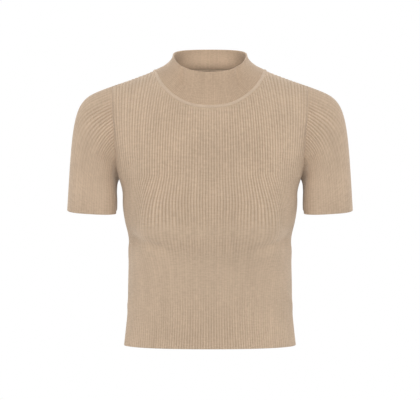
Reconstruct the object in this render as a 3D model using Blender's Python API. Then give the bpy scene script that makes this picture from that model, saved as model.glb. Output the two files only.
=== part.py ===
"""A cropped rib-knit jumper with short set-in sleeves and a mock neck, in the form it has when it is worn.

Frame: metres, +Z up. The wearer faces -Y and their left arm is at +X. The origin is the middle of the
neck base, level with the inner ends of the shoulder seams, where the shoulders carry the garment.

Every piece is one closed wall of cloth. A piece lives on a smooth surface with two running numbers:
  torso(rib, level, side)  rib counts the ribs from the centre line, level is 0 at the hem, 1 at the
                           underarm and 2 at the shoulder seam, side is FRONT or BACK
  sleeve(turn, along)      turn goes once round from the shoulder seam by way of the front, along is 0 at
                           the armhole and 1 at the cuff
  collar(turn, up)         turn goes once round from the wearer's left, up is 0 at the neckline, 1 at the rim
The ribs are raised in the outer points only. The inner points lie on the plain surface.
"""

import math
from collections import namedtuple

import bpy
import numpy as np
from mathutils import Matrix, Vector
from mathutils.geometry import delaunay_2d_cdt

CM = 0.01
MM = 0.001
FRONT, BACK = -1, 1

# Cloth
WALL = 1.5 * MM  # the knit in a furrow between two ribs
RIB_RELIEF = 1.0 * MM  # how much further a rib stands out
COLLAR_WALL = 2.6 * MM  # the collar is knitted double
SEAM_GAP = 0.6 * MM  # along the cloth, which leaves 0.3 mm where two pieces meet at an angle
PANEL_RIBS = 88  # from side seam to side seam
SLEEVE_RIBS = 68  # round a sleeve
HALF_RIBS = PANEL_RIBS / 2
SIDE_RIB = HALF_RIBS - 0.05  # a panel ends half a gap short of the side seam
TOP_LEVEL = 2 - 0.0015  # and of the shoulder seam

# Torso: horizontal sections from hem to underarm, in centimetres. "front" and "back" are the depths either
# side of the side seams, and "square" is the exponent of the section's superellipse.
Section = namedtuple("Section", "height half_width front back square")
TORSO = (
    Section(-47.9, 14.80, 9.6, 9.6, 2.30),
    Section(-45.2, 14.50, 9.3, 9.2, 2.30),
    Section(-42.0, 14.20, 9.1, 8.7, 2.30),
    Section(-37.5, 14.13, 9.0, 8.3, 2.30),
    Section(-32.5, 14.03, 9.3, 8.4, 2.30),
    Section(-29.0, 14.05, 9.7, 8.8, 2.35),
    Section(-26.5, 14.60, 10.0, 9.2, 2.45),
    Section(-23.5, 15.00, 10.2, 9.6, 2.55),
    Section(-20.8, 15.10, 10.2, 9.8, 2.65),
    Section(-18.4, 15.75, 10.0, 10.0, 2.80),
)
HEM_HEIGHT = TORSO[0].height * CM
UNDERARM_HEIGHT = TORSO[-1].height * CM

# Bust: one soft swelling each side of the centre line of the front
BUST_PLACE = 9.5 * CM  # from the centre line
BUST_HEIGHT = -27.4 * CM
BUST_DEPTH = 2.3 * CM
BUST_HALF_WIDTH = 5.6 * CM
BUST_RISE = 6.6 * CM  # how softly it fades upwards
BUST_FALL = 3.1 * CM  # and downwards
BUST_SIDE = (10.8 * CM, 14.8 * CM)  # it dies away between these distances from the centre line

# Spread of the front's ribs, by height in centimetres. "swell" is the share by which they are wider than even
# in a band around SPREAD_PLACE. "fan" is the share by which they are wider at the centre line and narrower at
# the side seam.
Spread = namedtuple("Spread", "height swell fan")
RIB_SPREAD = (
    Spread(-47.9, -0.16, -0.02),
    Spread(-42.0, -0.08, 0.00),
    Spread(-36.0, 0.06, 0.06),
    Spread(-31.5, 0.36, 0.14),
    Spread(-29.0, 0.64, 0.20),
    Spread(-26.5, 0.52, 0.13),
    Spread(-22.5, 0.11, 0.03),
    Spread(-18.4, -0.17, -0.11),
)
SPREAD_PLACE = 0.44  # the middle of the band, as a share of the way from the centre line to the side seam
SPREAD_WIDTH = 0.12
SPREAD_STEPS = 100  # in which the ribs' widths are added up

# Shoulders: the ridge that the front and back meet on, in centimetres from the centre line. Inside the
# neckline it only shapes the cloth around the neck.
RIDGE = ((0.0, 4.5), (5.0, 3.1), (9.9, -0.11), (12.2, -1.05), (14.6, -1.92), (17.0, -2.72))
RIDGE_DEPTH = 0.5 * CM  # the shoulder seams lie this far behind the side seams
SHOULDER_REACH = 17.0 * CM
ARMHOLE_RIB = 37  # the rib that runs beside the armhole up to the shoulder point
NECK_REACH = 9.6 * CM  # where the neckline meets the shoulder seam
NECK_RIB = 25  # the rib that ends there
# The neckline draws the ribs around it in: rib numbers, and how far from the centre line each one reaches the
# ridge, in centimetres
RIDGE_RIBS = (
    (0.0, 0.00),
    (4.0, 1.34),
    (8.0, 2.53),
    (12.0, 3.71),
    (16.0, 4.95),
    (20.0, 6.64),
    (22.5, 8.04),
    (25.0, 9.60),
    (28.0, 11.60),
    (31.0, 13.60),
    (34.0, 15.40),
    (37.0, 17.00),
    (46.0, 21.13),
)
DRAWN_LATE = 2.8  # the higher, the closer to the neckline the ribs begin to lean
CHEST_SLOPE = {FRONT: (1.20, 0.90), BACK: (0.90, 0.90)}  # how flat the rise to the shoulder is, at the
# centre line and at the armhole
ARMHOLE_SCOOP = 0.36  # level that the armhole's rounded foot takes up

# Neckline, seen from the front: distance from the centre line and height, in centimetres
NECKLINE = {
    FRONT: (
        (0.0, -6.66),
        (1.6, -6.56),
        (3.1, -6.32),
        (4.5, -5.80),
        (6.0, -4.91),
        (7.5, -3.57),
        (8.7, -1.90),
        (9.6, 0.00),
    ),
    BACK: ((0.0, 0.80), (3.0, 0.75), (6.0, 0.55), (9.6, 0.00)),
}

# Collar rim, in centimetres: a superellipse in plan that tilts down towards the front
RIM_HALF_WIDTH = 6.28
RIM_CENTRE = 1.0  # its widest place, behind the side seams
RIM_FRONT = -6.5
RIM_BACK = 6.2
RIM_SQUARE = {FRONT: 2.4, BACK: 2.1}
RIM_TILT = (2.655, 0.383, -0.0182)  # height = a + b y + c y^2
RIM_LEAN = 0.12  # how much the top of the collar leans inwards
COLLAR_DENT = 2.6 * MM  # the soft hollow either side of the collar's front
COLLAR_DENT_TURN = 0.085  # its distance round from the front centre
COLLAR_DENT_SPREAD = 0.02
COLLAR_HANDLE = 0.38  # of the curve from neckline to rim, as a share of its length
COLLAR_FOLD = 0.6 * MM  # how far the rim's fold stands above the ends of its two layers
FRONT_TURN = 0.25  # the turn at the collar's front centre

# Sleeves, in centimetres: the cuff is a superellipse square to the arm
CUFF_CENTRE = (20.75, 0.0, -24.32)
CUFF_HALF_WIDTH = 4.0
CUFF_HALF_DEPTH = 4.5
CUFF_SQUARE = 3.2
CUFF_SLOPE = (0.06, 0.15)  # rise of the cuff's edge per unit outwards and backwards
ARM_LEAN = 0.06  # the arm leans out by this much per unit down
ARM_AXIS = ((19.5, 0.2, -9.5), (20.5, 0.0, -17.0))  # the handles of a curve down the middle of the sleeve
SLEEVE_FORWARD = 0.16  # how much the sleeve's front and back spread as they leave the armhole
SLEEVE_FLATNESS = 0.5  # below 1 spreads them nearly as much close to the top and the underarm
# How steeply the sleeve leaves the armhole, in degrees below level, and how long the two handles of its
# curve are as shares of the distance from armhole to cuff.
Handle = namedtuple("Handle", "turn slope near far")
SLEEVE_FLOW = (
    Handle(0.00, 21, 0.31, 0.88),
    Handle(0.12, 25, 0.36, 0.79),
    Handle(0.25, 35, 0.33, 0.42),
    Handle(0.38, 34, 0.27, 0.45),
    Handle(0.50, 30, 0.17, 0.60),
)

# Neck seam: a raised linked ridge over the join of collar and body. Its section gives the place across the
# ridge and the height, each as a share of the whole.
LINK_HALF_WIDTH = 2.4 * MM
LINK_HEIGHT = 1.5 * MM
LINK_LIFT = 0.8 * MM  # the ridge lies this far over the collar's cloth
LINK_SECTION = ((-1.0, 0.0), (-0.6, 0.85), (0.0, 1.0), (0.6, 0.85), (1.0, 0.0))

# How far to either side a surface is read for its normal
RIB_PROBE = 0.3
LEVEL_PROBE = 0.01
TURN_PROBE = 0.004
ALONG_PROBE = 0.02
WITHIN = 0.6  # share of a point's distance from the centre line at which the body surely lies within

# How finely the pieces are cut
TORSO_ROWS = {
    FRONT: (-47.9, -43.2, -38.6, -34.6, -31.6, -29.0, -26.4, -23.6, -20.8, -18.4),
    BACK: (-47.9, -42.4, -37.4, -32.6, -28.0, -24.2, -20.8, -18.4),
}
CHEST_ROWS = 5
INNER_STEP = 4  # the inner wall has one column of points for this many ribs
ARMHOLE_POINTS = 22  # from shoulder to underarm
NECK_POINTS = 30  # across the front, and across the back
SLEEVE_ROWS = (0.08, 0.2, 0.34, 0.5, 0.67, 0.84, 1.0)
NECK_ROW = 0.035  # the ribs keep their height up to this many levels below the neckline
COLLAR_ROWS = (0.18, 0.4, 0.62, 0.84, 1.0)
FLAT_HEIGHTS = (0.0, 83.0, 133.0)  # of hem, underarm and shoulder when a panel is laid flat, in rib widths
EDGE_CLEARANCE = 0.95  # in rib widths, between a panel's edge and the points inside it

# Colours
YARN = (0.52, 0.40, 0.29, 1.0)
SLEEVE_COLOUR = (0.52, 0.39, 0.285, 1.0)
COLLAR_COLOUR = (0.49, 0.37, 0.26, 1.0)
LINK_COLOUR = (0.58, 0.46, 0.34, 1.0)
KNIT_ROUGHNESS = 0.9
SHARP_ANGLE = math.radians(50)


def smooth(x, xs, ys):
    """A smooth curve through the points (xs, ys), read at x."""
    xs, ys = np.asarray(xs, float), np.asarray(ys, float)
    slope = np.gradient(ys, xs)
    i = np.clip(np.searchsorted(xs, x) - 1, 0, len(xs) - 2)
    step = xs[i + 1] - xs[i]
    t = np.clip((x - xs[i]) / step, 0, 1)
    near = (1 + 2 * t) * (1 - t) ** 2 * ys[i] + t * (1 - t) ** 2 * step * slope[i]
    far = t**2 * (3 - 2 * t) * ys[i + 1] + t**2 * (t - 1) * step * slope[i + 1]
    return near + far


def column(table, name):
    return [getattr(row, name) for row in table]


def unit(vectors):
    return vectors / np.linalg.norm(vectors, axis=-1, keepdims=True)


def points(x, y, z):
    return np.stack(np.broadcast_arrays(x, y, z), axis=-1).astype(float)


# ---- the torso's surface


def bust(x, z):
    """How far the bust swells the front forward."""
    reach = np.where(z > BUST_HEIGHT, BUST_RISE, BUST_FALL)
    fade = np.exp(-0.5 * ((z - BUST_HEIGHT) / reach) ** 2)
    sides = [np.exp(-0.5 * ((x - s * BUST_PLACE) / BUST_HALF_WIDTH) ** 2) for s in (-1, 1)]
    outer = np.clip((BUST_SIDE[1] - np.abs(x)) / (BUST_SIDE[1] - BUST_SIDE[0]), 0, 1)
    return BUST_DEPTH * fade * sum(sides) * outer**2 * (3 - 2 * outer)


def half_section(height, side):
    """A section from the centre line to the side seam: share of its length, x and y."""
    heights = column(TORSO, "height")
    half_width = smooth(height / CM, heights, column(TORSO, "half_width")) * CM
    depth = smooth(height / CM, heights, column(TORSO, "front" if side == FRONT else "back")) * CM
    power = 2 / smooth(height / CM, heights, column(TORSO, "square"))
    turn = np.linspace(0, math.pi / 2, 121)
    x = half_width * np.sin(turn) ** power
    y = side * depth * np.cos(turn) ** power
    if side == FRONT:
        y = y - bust(x, height)
    run = np.concatenate([[0], np.cumsum(np.hypot(np.diff(x), np.diff(y)))])
    return run / run[-1], x, y


def spread(height):
    """Shares of the ribs' number from the centre line, and the shares of the section's length they take up."""
    heights = column(RIB_SPREAD, "height")
    swell = smooth(height / CM, heights, column(RIB_SPREAD, "swell"))
    fan = smooth(height / CM, heights, column(RIB_SPREAD, "fan"))
    part = np.linspace(0, 1, SPREAD_STEPS + 1)
    width = 1 + swell * np.exp(-0.5 * ((part - SPREAD_PLACE) / SPREAD_WIDTH) ** 2) + fan * np.cos(math.pi * part)
    run = np.concatenate([[0], np.cumsum(width[1:] + width[:-1])])
    return part, run / run[-1]


def on_section(rib, height, side):
    """x and y of a rib on one section. The ribs are evenly spaced, but for those that the bust stretches."""
    share, x, y = half_section(height, side)
    part = np.clip(np.abs(rib) / HALF_RIBS, 0, 1)
    if side == FRONT:
        part = np.interp(part, *spread(height))
    return np.sign(rib) * np.interp(part, share, x), np.interp(part, share, y)


def ridge_height(x):
    return smooth(np.abs(x) / CM, *zip(*RIDGE)) * CM


def torso(rib, level, side):
    """Points of the torso, front or back, for arrays of rib numbers and levels."""
    rib, level = np.broadcast_arrays(np.asarray(rib, float), np.asarray(level, float))
    low = HEM_HEIGHT + (UNDERARM_HEIGHT - HEM_HEIGHT) * np.clip(level, 0, 1)
    x, y = np.zeros(rib.shape), np.zeros(rib.shape)
    for height in np.unique(low):
        here = low == height
        x[here], y[here] = on_section(rib[here], height, side)
    # Above the underarm each rib rises on part of an ellipse to the shoulder ridge.
    lift = np.clip(level - 1, 0, 1) * math.pi / 2
    flat = np.interp(np.abs(rib), (0, ARMHOLE_RIB), CHEST_SLOPE[side])
    even_x = rib * SHOULDER_REACH / ARMHOLE_RIB
    ridge_x = np.sign(rib) * smooth(np.abs(rib), *zip(*RIDGE_RIBS)) * CM
    rise = np.sin(lift) ** flat
    x_up = x + (even_x - x) * np.sin(rise * math.pi / 2) + (ridge_x - even_x) * rise**DRAWN_LATE
    z = low + (ridge_height(ridge_x) - low) * rise * (level > 1)
    swell = 1 if side == FRONT else 0
    y_plain = y + swell * bust(x, low)
    y_up = RIDGE_DEPTH + (y_plain - RIDGE_DEPTH) * np.cos(lift) ** flat - swell * bust(x_up, z)
    upper = level > 1
    return points(np.where(upper, x_up, x), np.where(upper, y_up, y), z)


def normals(surface, u, v, du, dv, outward):
    """Unit normals of a surface, turned to the side that outward, an array of directions, points to."""
    across = surface(u + du, v) - surface(u - du, v)
    along = surface(u, v + dv) - surface(u, v - dv)
    normal = unit(np.cross(across, along))
    return normal * np.sign(np.sum(normal * outward, axis=-1, keepdims=True))


def torso_normals(rib, level, side):
    inside = np.clip(level, LEVEL_PROBE * 1.1, 2 - LEVEL_PROBE * 1.1)
    place = torso(rib, inside, side)
    outward = place - points(WITHIN * place[:, 0], 0, np.minimum(place[:, 2], UNDERARM_HEIGHT))
    return normals(lambda u, v: torso(u, v, side), rib, inside, RIB_PROBE, LEVEL_PROBE, outward)


# ---- the lines that pieces are cut and joined on


def neck_level(rib, side):
    """The level at which each rib meets the neckline, found by halving."""
    rib = np.asarray(rib, float)
    low, high = np.ones(rib.shape), np.full(rib.shape, 2.0)
    for _ in range(24):
        middle = (low + high) / 2
        place = torso(rib, middle, side)
        under = place[..., 2] < smooth(np.abs(place[..., 0]) / CM, *zip(*NECKLINE[side])) * CM
        low, high = np.where(under, middle, low), np.where(under, high, middle)
    return high


def scoop_level(rib):
    """The level of the armhole's rounded foot, for ribs beyond the one beside the armhole."""
    part = np.clip((HALF_RIBS - np.abs(rib)) / (HALF_RIBS - ARMHOLE_RIB), 0, 1)
    return 1 + ARMHOLE_SCOOP * (1 - np.sqrt(1 - part**2))


def evenly(rib, level, side, count):
    """count + 1 points evenly spaced along a line drawn on the torso."""
    place = torso(rib, level, side)
    run = np.concatenate([[0], np.cumsum(np.linalg.norm(np.diff(place, axis=0), axis=1))])
    at = np.linspace(0, run[-1], count + 1)
    return np.interp(at, run, rib), np.interp(at, run, level)


def armhole(side, count=ARMHOLE_POINTS):
    """The armhole on the wearer's left, from the shoulder point down to the underarm: rib and level."""
    part = np.sin(np.linspace(math.pi / 2, 0, 60))
    foot_rib = HALF_RIBS - part * (HALF_RIBS - ARMHOLE_RIB)
    rib = np.concatenate([np.full(60, float(ARMHOLE_RIB)), foot_rib[1:]])
    level = np.concatenate([np.linspace(2, 1 + ARMHOLE_SCOOP, 60), scoop_level(foot_rib)[1:]])
    return evenly(rib, level, side, count)


def neckline(side, count=NECK_POINTS):
    """The neckline from the wearer's left to their right: rib and level."""
    rib = NECK_RIB * np.cos(np.linspace(0, math.pi, 241))
    return evenly(rib, neck_level(rib, side), side, count)


Edge = namedtuple("Edge", "inner outer")
Line = namedtuple("Line", "place normal tangent into")


def line_on_torso(rib, level, side, into_rib, into_level):
    """A line on the torso with, at each point, the normal, the line's direction and the way into the panel."""
    rib = np.clip(rib, -SIDE_RIB, SIDE_RIB)
    level = np.minimum(level, TOP_LEVEL)
    place = torso(rib, level, side)
    tangent = unit(np.gradient(place, axis=0))
    into = torso(rib + into_rib, level + into_level, side) - place
    into -= np.sum(into * tangent, axis=1, keepdims=True) * tangent
    return Line(place, torso_normals(rib, level, side), tangent, unit(into))


def joined(line, normal, away, wall):
    """The edge of the cloth that leaves a seam line in a direction, with its wall cut on the mitre between
    its own normal and that of the cloth on the other side."""
    mitre = (line.normal + normal) / (1 + np.sum(line.normal * normal, axis=1, keepdims=True))
    inner = line.place + away * SEAM_GAP / 2
    return Edge(inner, inner + mitre * wall)


def armhole_line(side):
    return line_on_torso(*armhole(side), side, -1.0, -0.02)


def neck_line(side):
    rib, level = neckline(side)
    return line_on_torso(rib, level, side, np.sign(rib) * 0.5, -0.02)


def closed(front, back):
    """Two seam lines with shared ends as one closed ring, front first."""
    rings = []
    for f, b in zip(front, back):
        first, last = (f[0] + b[0]) / 2, (f[-1] + b[-1]) / 2
        rings.append(np.concatenate([[first], f[1:-1], [last], b[-2:0:-1]]))
    return rings


# ---- the sleeve's surface


def flow(turn, name):
    """A value of SLEEVE_FLOW at a turn. The back of the sleeve flows as its front does."""
    folded = np.minimum(turn % 1, 1 - turn % 1)
    return smooth(folded, column(SLEEVE_FLOW, "turn"), column(SLEEVE_FLOW, name))


def leaving(turn):
    """The direction in which the sleeve leaves the armhole."""
    slope = np.radians(flow(turn, "slope"))
    forward = np.sin(turn * 2 * math.pi)
    forward = SLEEVE_FORWARD * np.sign(forward) * np.abs(forward) ** SLEEVE_FLATNESS
    return points(np.cos(slope), -forward, -np.sin(slope))


def armhole_ring(count=120):
    """The whole armhole as a closed ring, front first, sampled finely for the sleeve to start from."""
    front = torso(*armhole(FRONT, count), FRONT)
    back = torso(*armhole(BACK, count), BACK)
    return np.concatenate([front, back[::-1][1:]])


ARMHOLE_RING = armhole_ring()


def cuff_outline():
    """Shares of the way round the cuff, from its outermost point by way of the front, with x and y there."""
    angle = np.linspace(0, 2 * math.pi, 361)
    power = 2 / CUFF_SQUARE
    x = CUFF_HALF_WIDTH * np.sign(np.cos(angle)) * np.abs(np.cos(angle)) ** power
    y = -CUFF_HALF_DEPTH * np.sign(np.sin(angle)) * np.abs(np.sin(angle)) ** power
    run = np.concatenate([[0], np.cumsum(np.hypot(np.diff(x), np.diff(y)))])
    return run / run[-1], x, y


CUFF_OUTLINE = cuff_outline()


def cuff(turn):
    """The cuff's edge. Turn 0 is its outermost point and 0.25 its front."""
    share, *outline = CUFF_OUTLINE
    x, y = (np.interp(turn % 1, share, v) for v in outline)
    z = CUFF_SLOPE[0] * x + CUFF_SLOPE[1] * y
    return (points(x, y, z) + np.array(CUFF_CENTRE)) * CM


def sleeve(turn, along):
    """Points of the wearer's left sleeve, on a curve from armhole to cuff for each turn."""
    turn, along = np.broadcast_arrays(np.asarray(turn, float), np.asarray(along, float))
    share = np.linspace(0, 1, len(ARMHOLE_RING))
    start = np.stack([np.interp(turn % 1, share, ARMHOLE_RING[:, k]) for k in range(3)], -1)
    end = cuff(turn)
    reach = np.linalg.norm(end - start, axis=-1, keepdims=True)
    near, far = flow(turn, "near")[:, None], flow(turn, "far")[:, None]
    up_arm = unit(np.array([-ARM_LEAN, 0.0, 1.0]))
    s = along[:, None]
    steady = s + (1 / (3 * near) - 1) * s * (1 - s) ** 2 + (1 - 1 / (3 * far)) * s**2 * (1 - s)
    return bezier(start, start + unit(leaving(turn)) * reach * near, end + up_arm * reach * far, end, steady)


def bezier(a, b, c, d, t):
    return (1 - t) ** 3 * a + 3 * t * (1 - t) ** 2 * b + 3 * t**2 * (1 - t) * c + t**3 * d


def sleeve_normals(turn, along):
    inside = np.clip(along, ALONG_PROBE * 1.01, 1 - ALONG_PROBE * 1.01)
    near, far = np.array(ARM_AXIS) * CM
    axis = bezier(ARMHOLE_RING.mean(axis=0), near, far, np.array(CUFF_CENTRE) * CM, inside[:, None])
    outward = sleeve(turn, inside) - axis
    return normals(sleeve, turn, inside, TURN_PROBE, ALONG_PROBE, outward)


# ---- the collar's surface


def neck_ring():
    """The neckline as one closed ring from the wearer's left round the front, as a Line."""
    place, normal, tangent, into = closed(neck_line(FRONT), neck_line(BACK))
    return Line(place, unit(normal), tangent, unit(into))


NECK_RING = neck_ring()


def rim(turn):
    """The collar's upper edge, a superellipse that is deeper in front of its widest place than behind."""
    angle = turn * 2 * math.pi
    in_front = np.sin(angle) > 0
    power = 2 / np.where(in_front, RIM_SQUARE[FRONT], RIM_SQUARE[BACK])
    x = RIM_HALF_WIDTH * np.sign(np.cos(angle)) * np.abs(np.cos(angle)) ** power
    depth = np.where(in_front, RIM_FRONT, RIM_BACK) - RIM_CENTRE
    y = RIM_CENTRE + depth * np.abs(np.sin(angle)) ** power
    a, b, c = RIM_TILT
    return points(x, y, a + b * y + c * y**2) * CM


def collar(turn, up):
    """Points of the collar, on a curve from neckline to rim for each turn."""
    turn, up = np.broadcast_arrays(np.asarray(turn, float), np.asarray(up, float))
    share = np.arange(len(NECK_RING.place) + 1) / len(NECK_RING.place)
    start, into = (
        np.stack([np.interp(turn % 1, share, np.append(v[:, k], v[0, k])) for k in range(3)], -1)
        for v in (NECK_RING.place, NECK_RING.into)
    )
    end = rim(turn)
    inwards = -end * np.array([1, 1, 0])
    lean = unit(unit(inwards) * RIM_LEAN + np.array([0, 0, 1.0]))
    reach = np.linalg.norm(end - start, axis=-1, keepdims=True)
    handle = reach * COLLAR_HANDLE
    place = bezier(start, start - unit(into) * handle, end - lean * handle, end, up[:, None])
    from_dent = np.abs(turn % 1 - FRONT_TURN) - COLLAR_DENT_TURN
    dent = np.exp(-0.5 * (from_dent / COLLAR_DENT_SPREAD) ** 2) * np.sin(math.pi * up) ** 2
    return place - unit(end * np.array([1, 1, 0])) * (COLLAR_DENT * dent)[:, None]


def collar_normals(turn, up):
    inside = np.clip(up, ALONG_PROBE * 1.01, 1 - ALONG_PROBE * 1.01)
    outward = collar(turn, inside) * np.array([1, 1, 0])
    return normals(collar, turn, inside, TURN_PROBE, ALONG_PROBE, outward)


# ---- walls of cloth


def strip(first, second):
    """Triangles between two closed rings of vertex numbers, whatever their counts."""
    i = j = 0
    faces = []
    while i < len(first) or j < len(second):
        a, b = first[i % len(first)], second[j % len(second)]
        if j == len(second) or (i < len(first) and (2 * i + 1) * len(second) <= (2 * j + 1) * len(first)):
            i += 1
            faces.append((a, first[i % len(first)], b))
        else:
            j += 1
            faces.append((a, second[j % len(second)], b))
    return faces


def tube(name, rings, colour):
    """A closed wall from a list of rings of points, which run up the outside and back down the inside."""
    numbers, start = [], 0
    for ring in rings:
        numbers.append(range(start, start + len(ring)))
        start += len(ring)
    faces = [f for a, b in zip(numbers, numbers[1:] + numbers[:1]) for f in strip(a, b)]
    return solid(name, np.concatenate(rings), faces, colour)


def solid(name, place, faces, colour):
    """One object from vertices and faces, with its faces turned outwards."""
    mesh = bpy.data.meshes.new(name)
    mesh.from_pydata([tuple(p) for p in place], [], faces)
    corners = [place[[f[k] for f in faces]] for k in range(3)]
    volume = np.sum(corners[0] * np.cross(corners[1], corners[2])) / 6
    if volume < 0:
        mesh.flip_normals()
    mesh.shade_smooth()
    mesh.set_sharp_from_angle(angle=SHARP_ANGLE)
    mesh.materials.append(knit_material(name + "_knit", colour))
    part = bpy.data.objects.new(name, mesh)
    bpy.context.scene.collection.objects.link(part)
    return part


def knit_material(name, colour):
    made = bpy.data.materials.new(name)
    made.use_nodes = True
    made.diffuse_color = colour
    shader = made.node_tree.nodes["Principled BSDF"]
    shader.inputs["Base Color"].default_value = colour
    shader.inputs["Roughness"].default_value = KNIT_ROUGHNESS
    shader.inputs["Metallic"].default_value = 0.0
    return made


# ---- the pieces


def facing(vectors, outward):
    vectors = unit(vectors)
    return vectors * np.sign(np.sum(vectors * outward, axis=-1, keepdims=True))


def rib_relief(rib):
    """A rib stands up on each whole number, and the furrows lie half way between."""
    return RIB_RELIEF * (0.5 + 0.5 * np.cos(2 * math.pi * np.asarray(rib)))


def on_panel(rib, level, side, relief):
    """The cloth's inner and outer points at ribs and levels of a panel."""
    rib = np.clip(rib, -SIDE_RIB, SIDE_RIB)
    level = np.minimum(level, TOP_LEVEL)
    place = torso(rib, level, side)
    return Edge(place, place + torso_normals(rib, level, side) * (WALL + relief)[:, None])


def sleeve_normal_at_seam(line, turn):
    return facing(np.cross(line.tangent, leaving(turn)), line.place - ARMHOLE_RING.mean(axis=0))


def outline_of(side, levels):
    """A panel's outline, counted round from its hem: ribs, levels, its edge in space, and which of its
    points the inner wall shares."""
    hem = np.arange(2 * PANEL_RIBS + 1) / 2 - HALF_RIBS
    seam = np.array([v for v in levels if 0 < v < 1])
    shoulder = np.arange(ARMHOLE_RIB - 0.5, NECK_RIB + 0.25, -0.5)
    arm_rib, arm_level = armhole(side)
    neck_rib, neck_top = neckline(side)

    arm = armhole_line(side)
    turn = np.linspace(0, 0.5 if side == FRONT else -0.5, len(arm_rib))
    arm_edge = joined(arm, sleeve_normal_at_seam(arm, turn), arm.into, WALL)
    neck = neck_line(side)
    neck_edge = joined(neck, neck.normal, neck.into, WALL)
    mirrored = Edge(*(side_of_edge * np.array([-1, 1, 1]) for side_of_edge in arm_edge))
    backwards = Edge(*(side_of_edge[::-1] for side_of_edge in arm_edge))

    def plain(rib, level, relief=0.0):
        rib, level, relief = np.broadcast_arrays(rib, level, relief)
        return rib, level, on_panel(rib, level, side, relief)

    runs = (
        plain(hem, 0.0, rib_relief(hem)),
        plain(HALF_RIBS, seam),
        (arm_rib[::-1], arm_level[::-1], backwards),
        plain(shoulder, 2.0, rib_relief(shoulder)),
        (neck_rib, neck_top, neck_edge),
        plain(-shoulder[::-1], 2.0, rib_relief(shoulder)),
        (-arm_rib, arm_level, mirrored),
        plain(-HALF_RIBS, seam[::-1]),
    )
    rib = np.concatenate([r[0] for r in runs])
    level = np.concatenate([r[1] for r in runs])
    edge = Edge(*(np.concatenate([getattr(r[2], name) for r in runs]) for name in Edge._fields))
    ribbed = (level == 0.0) | (level == 2.0) & (np.abs(rib) < ARMHOLE_RIB) & (np.abs(rib) > NECK_RIB)
    shared = ~ribbed | (np.mod(rib, INNER_STEP) == 0)
    return rib, level, edge, shared


def drawn(rib, level):
    """A panel laid flat, in rib widths, for cutting it into triangles."""
    return np.stack([rib, np.interp(level, (0, 1, 2), FLAT_HEIGHTS)], axis=-1)


def clear_of(outline, spots, gap):
    """Which spots lie inside a flat outline and at least the gap away from it."""
    a, b = outline, np.roll(outline, -1, axis=0)
    inside = np.zeros(len(spots), bool)
    near = np.full(len(spots), np.inf)
    for p, q in zip(a, b):
        crosses = (p[1] > spots[:, 1]) != (q[1] > spots[:, 1])
        rise = q[1] - p[1] if q[1] != p[1] else 1.0
        inside ^= crosses & (spots[:, 0] < p[0] + (spots[:, 1] - p[1]) * (q[0] - p[0]) / rise)
        t = np.clip((spots - p) @ (q - p) / max(np.sum((q - p) ** 2), 1e-12), 0, 1)
        near = np.minimum(near, np.linalg.norm(spots - p - t[:, None] * (q - p), axis=1))
    return inside & (near > gap)


def filled(rib, level, columns):
    """Triangles that fill an outline. Each column is a rib number with its levels, and is kept as an unbroken
    crease that starts and ends on the outline where that has a point on the same rib. Gives the added ribs
    and levels, and the triangles' vertex numbers."""
    outline = drawn(rib, level)
    ends = {(r, v): k for k, (r, v) in enumerate(zip(rib, level))}
    spots = [(r, v) for r, levels in columns for v in levels]
    keep = clear_of(outline, drawn(*np.array(spots).T), EDGE_CLEARANCE)
    kept = [spot for spot, kept_one in zip(spots, keep) if kept_one]
    number = {spot: len(outline) + k for k, spot in enumerate(kept)} | ends
    creases = []
    for r, levels in columns:
        chain = [number.get((r, v), -1) for v in [0.0, *levels, 2.0]]
        creases += [(a, b) for a, b in zip(chain, chain[1:]) if a >= 0 and b >= 0]
    added = np.array(kept)
    flat = np.concatenate([outline, drawn(*added.T)])
    made = delaunay_2d_cdt([Vector(p) for p in flat], creases, [range(len(outline))], 1, 1e-6)
    assert len(made[0]) == len(flat)
    source = [first[0] for first in made[3]]
    return *added.T, [tuple(source[k] for k in face) for face in made[2]]


def rimmed(shared, outer_start, inner_start):
    """Triangles across the wall's cut edge, round an outline of which the inner wall shares some points."""
    kept = np.flatnonzero(shared)
    faces = []
    for n, i in enumerate(kept):
        last = n + 1 == len(kept)
        j = len(shared) if last else kept[n + 1]
        near, far = inner_start + n, inner_start + (0 if last else n + 1)
        ring = [outer_start + k % len(shared) for k in range(i, j + 1)]
        middle = (len(ring) - 1) // 2
        for k in range(len(ring) - 1):
            faces.append((ring[k + 1], ring[k], near if k < middle else far))
        faces.append((ring[middle], near, far))
    return faces


def below_neck(rib, rows, side):
    """The levels of one rib of a panel, with a last one just below the neckline where the rib ends there."""
    last = neck_level(rib, side) - NECK_ROW
    if abs(rib) > NECK_RIB:
        return list(rows)
    return [v for v in rows if v < last - NECK_ROW] + [float(last)]


def panel(name, side):
    """The front or the back: a flat cut with its outline in ribs and levels, bent round the torso."""
    rows = [(h * CM - HEM_HEIGHT) / (UNDERARM_HEIGHT - HEM_HEIGHT) for h in TORSO_ROWS[side][1:]]
    rows += list(1 + np.arange(1, CHEST_ROWS) / CHEST_ROWS)
    rib, level, edge, shared = outline_of(side, rows)

    half_steps = np.arange(1, 2 * PANEL_RIBS) / 2 - HALF_RIBS
    columns = [(r, below_neck(r, rows, side)) for r in half_steps]
    add_rib, add_level, outer_faces = filled(rib, level, columns)
    outer = np.concatenate([edge.outer, on_panel(add_rib, add_level, side, rib_relief(add_rib)).outer])

    wide_steps = half_steps[np.mod(half_steps, INNER_STEP) == 0]
    in_rib, in_level, inner_faces = filled(rib[shared], level[shared], [(r, rows) for r in wide_steps])
    inner = np.concatenate([edge.inner[shared], on_panel(in_rib, in_level, side, 0 * in_rib).inner])

    turned = [tuple(len(outer) + k for k in face[::-1]) for face in inner_faces]
    faces = outer_faces + turned + rimmed(shared, 0, len(outer))
    return solid(name, np.concatenate([outer, inner]), faces, YARN)


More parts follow.
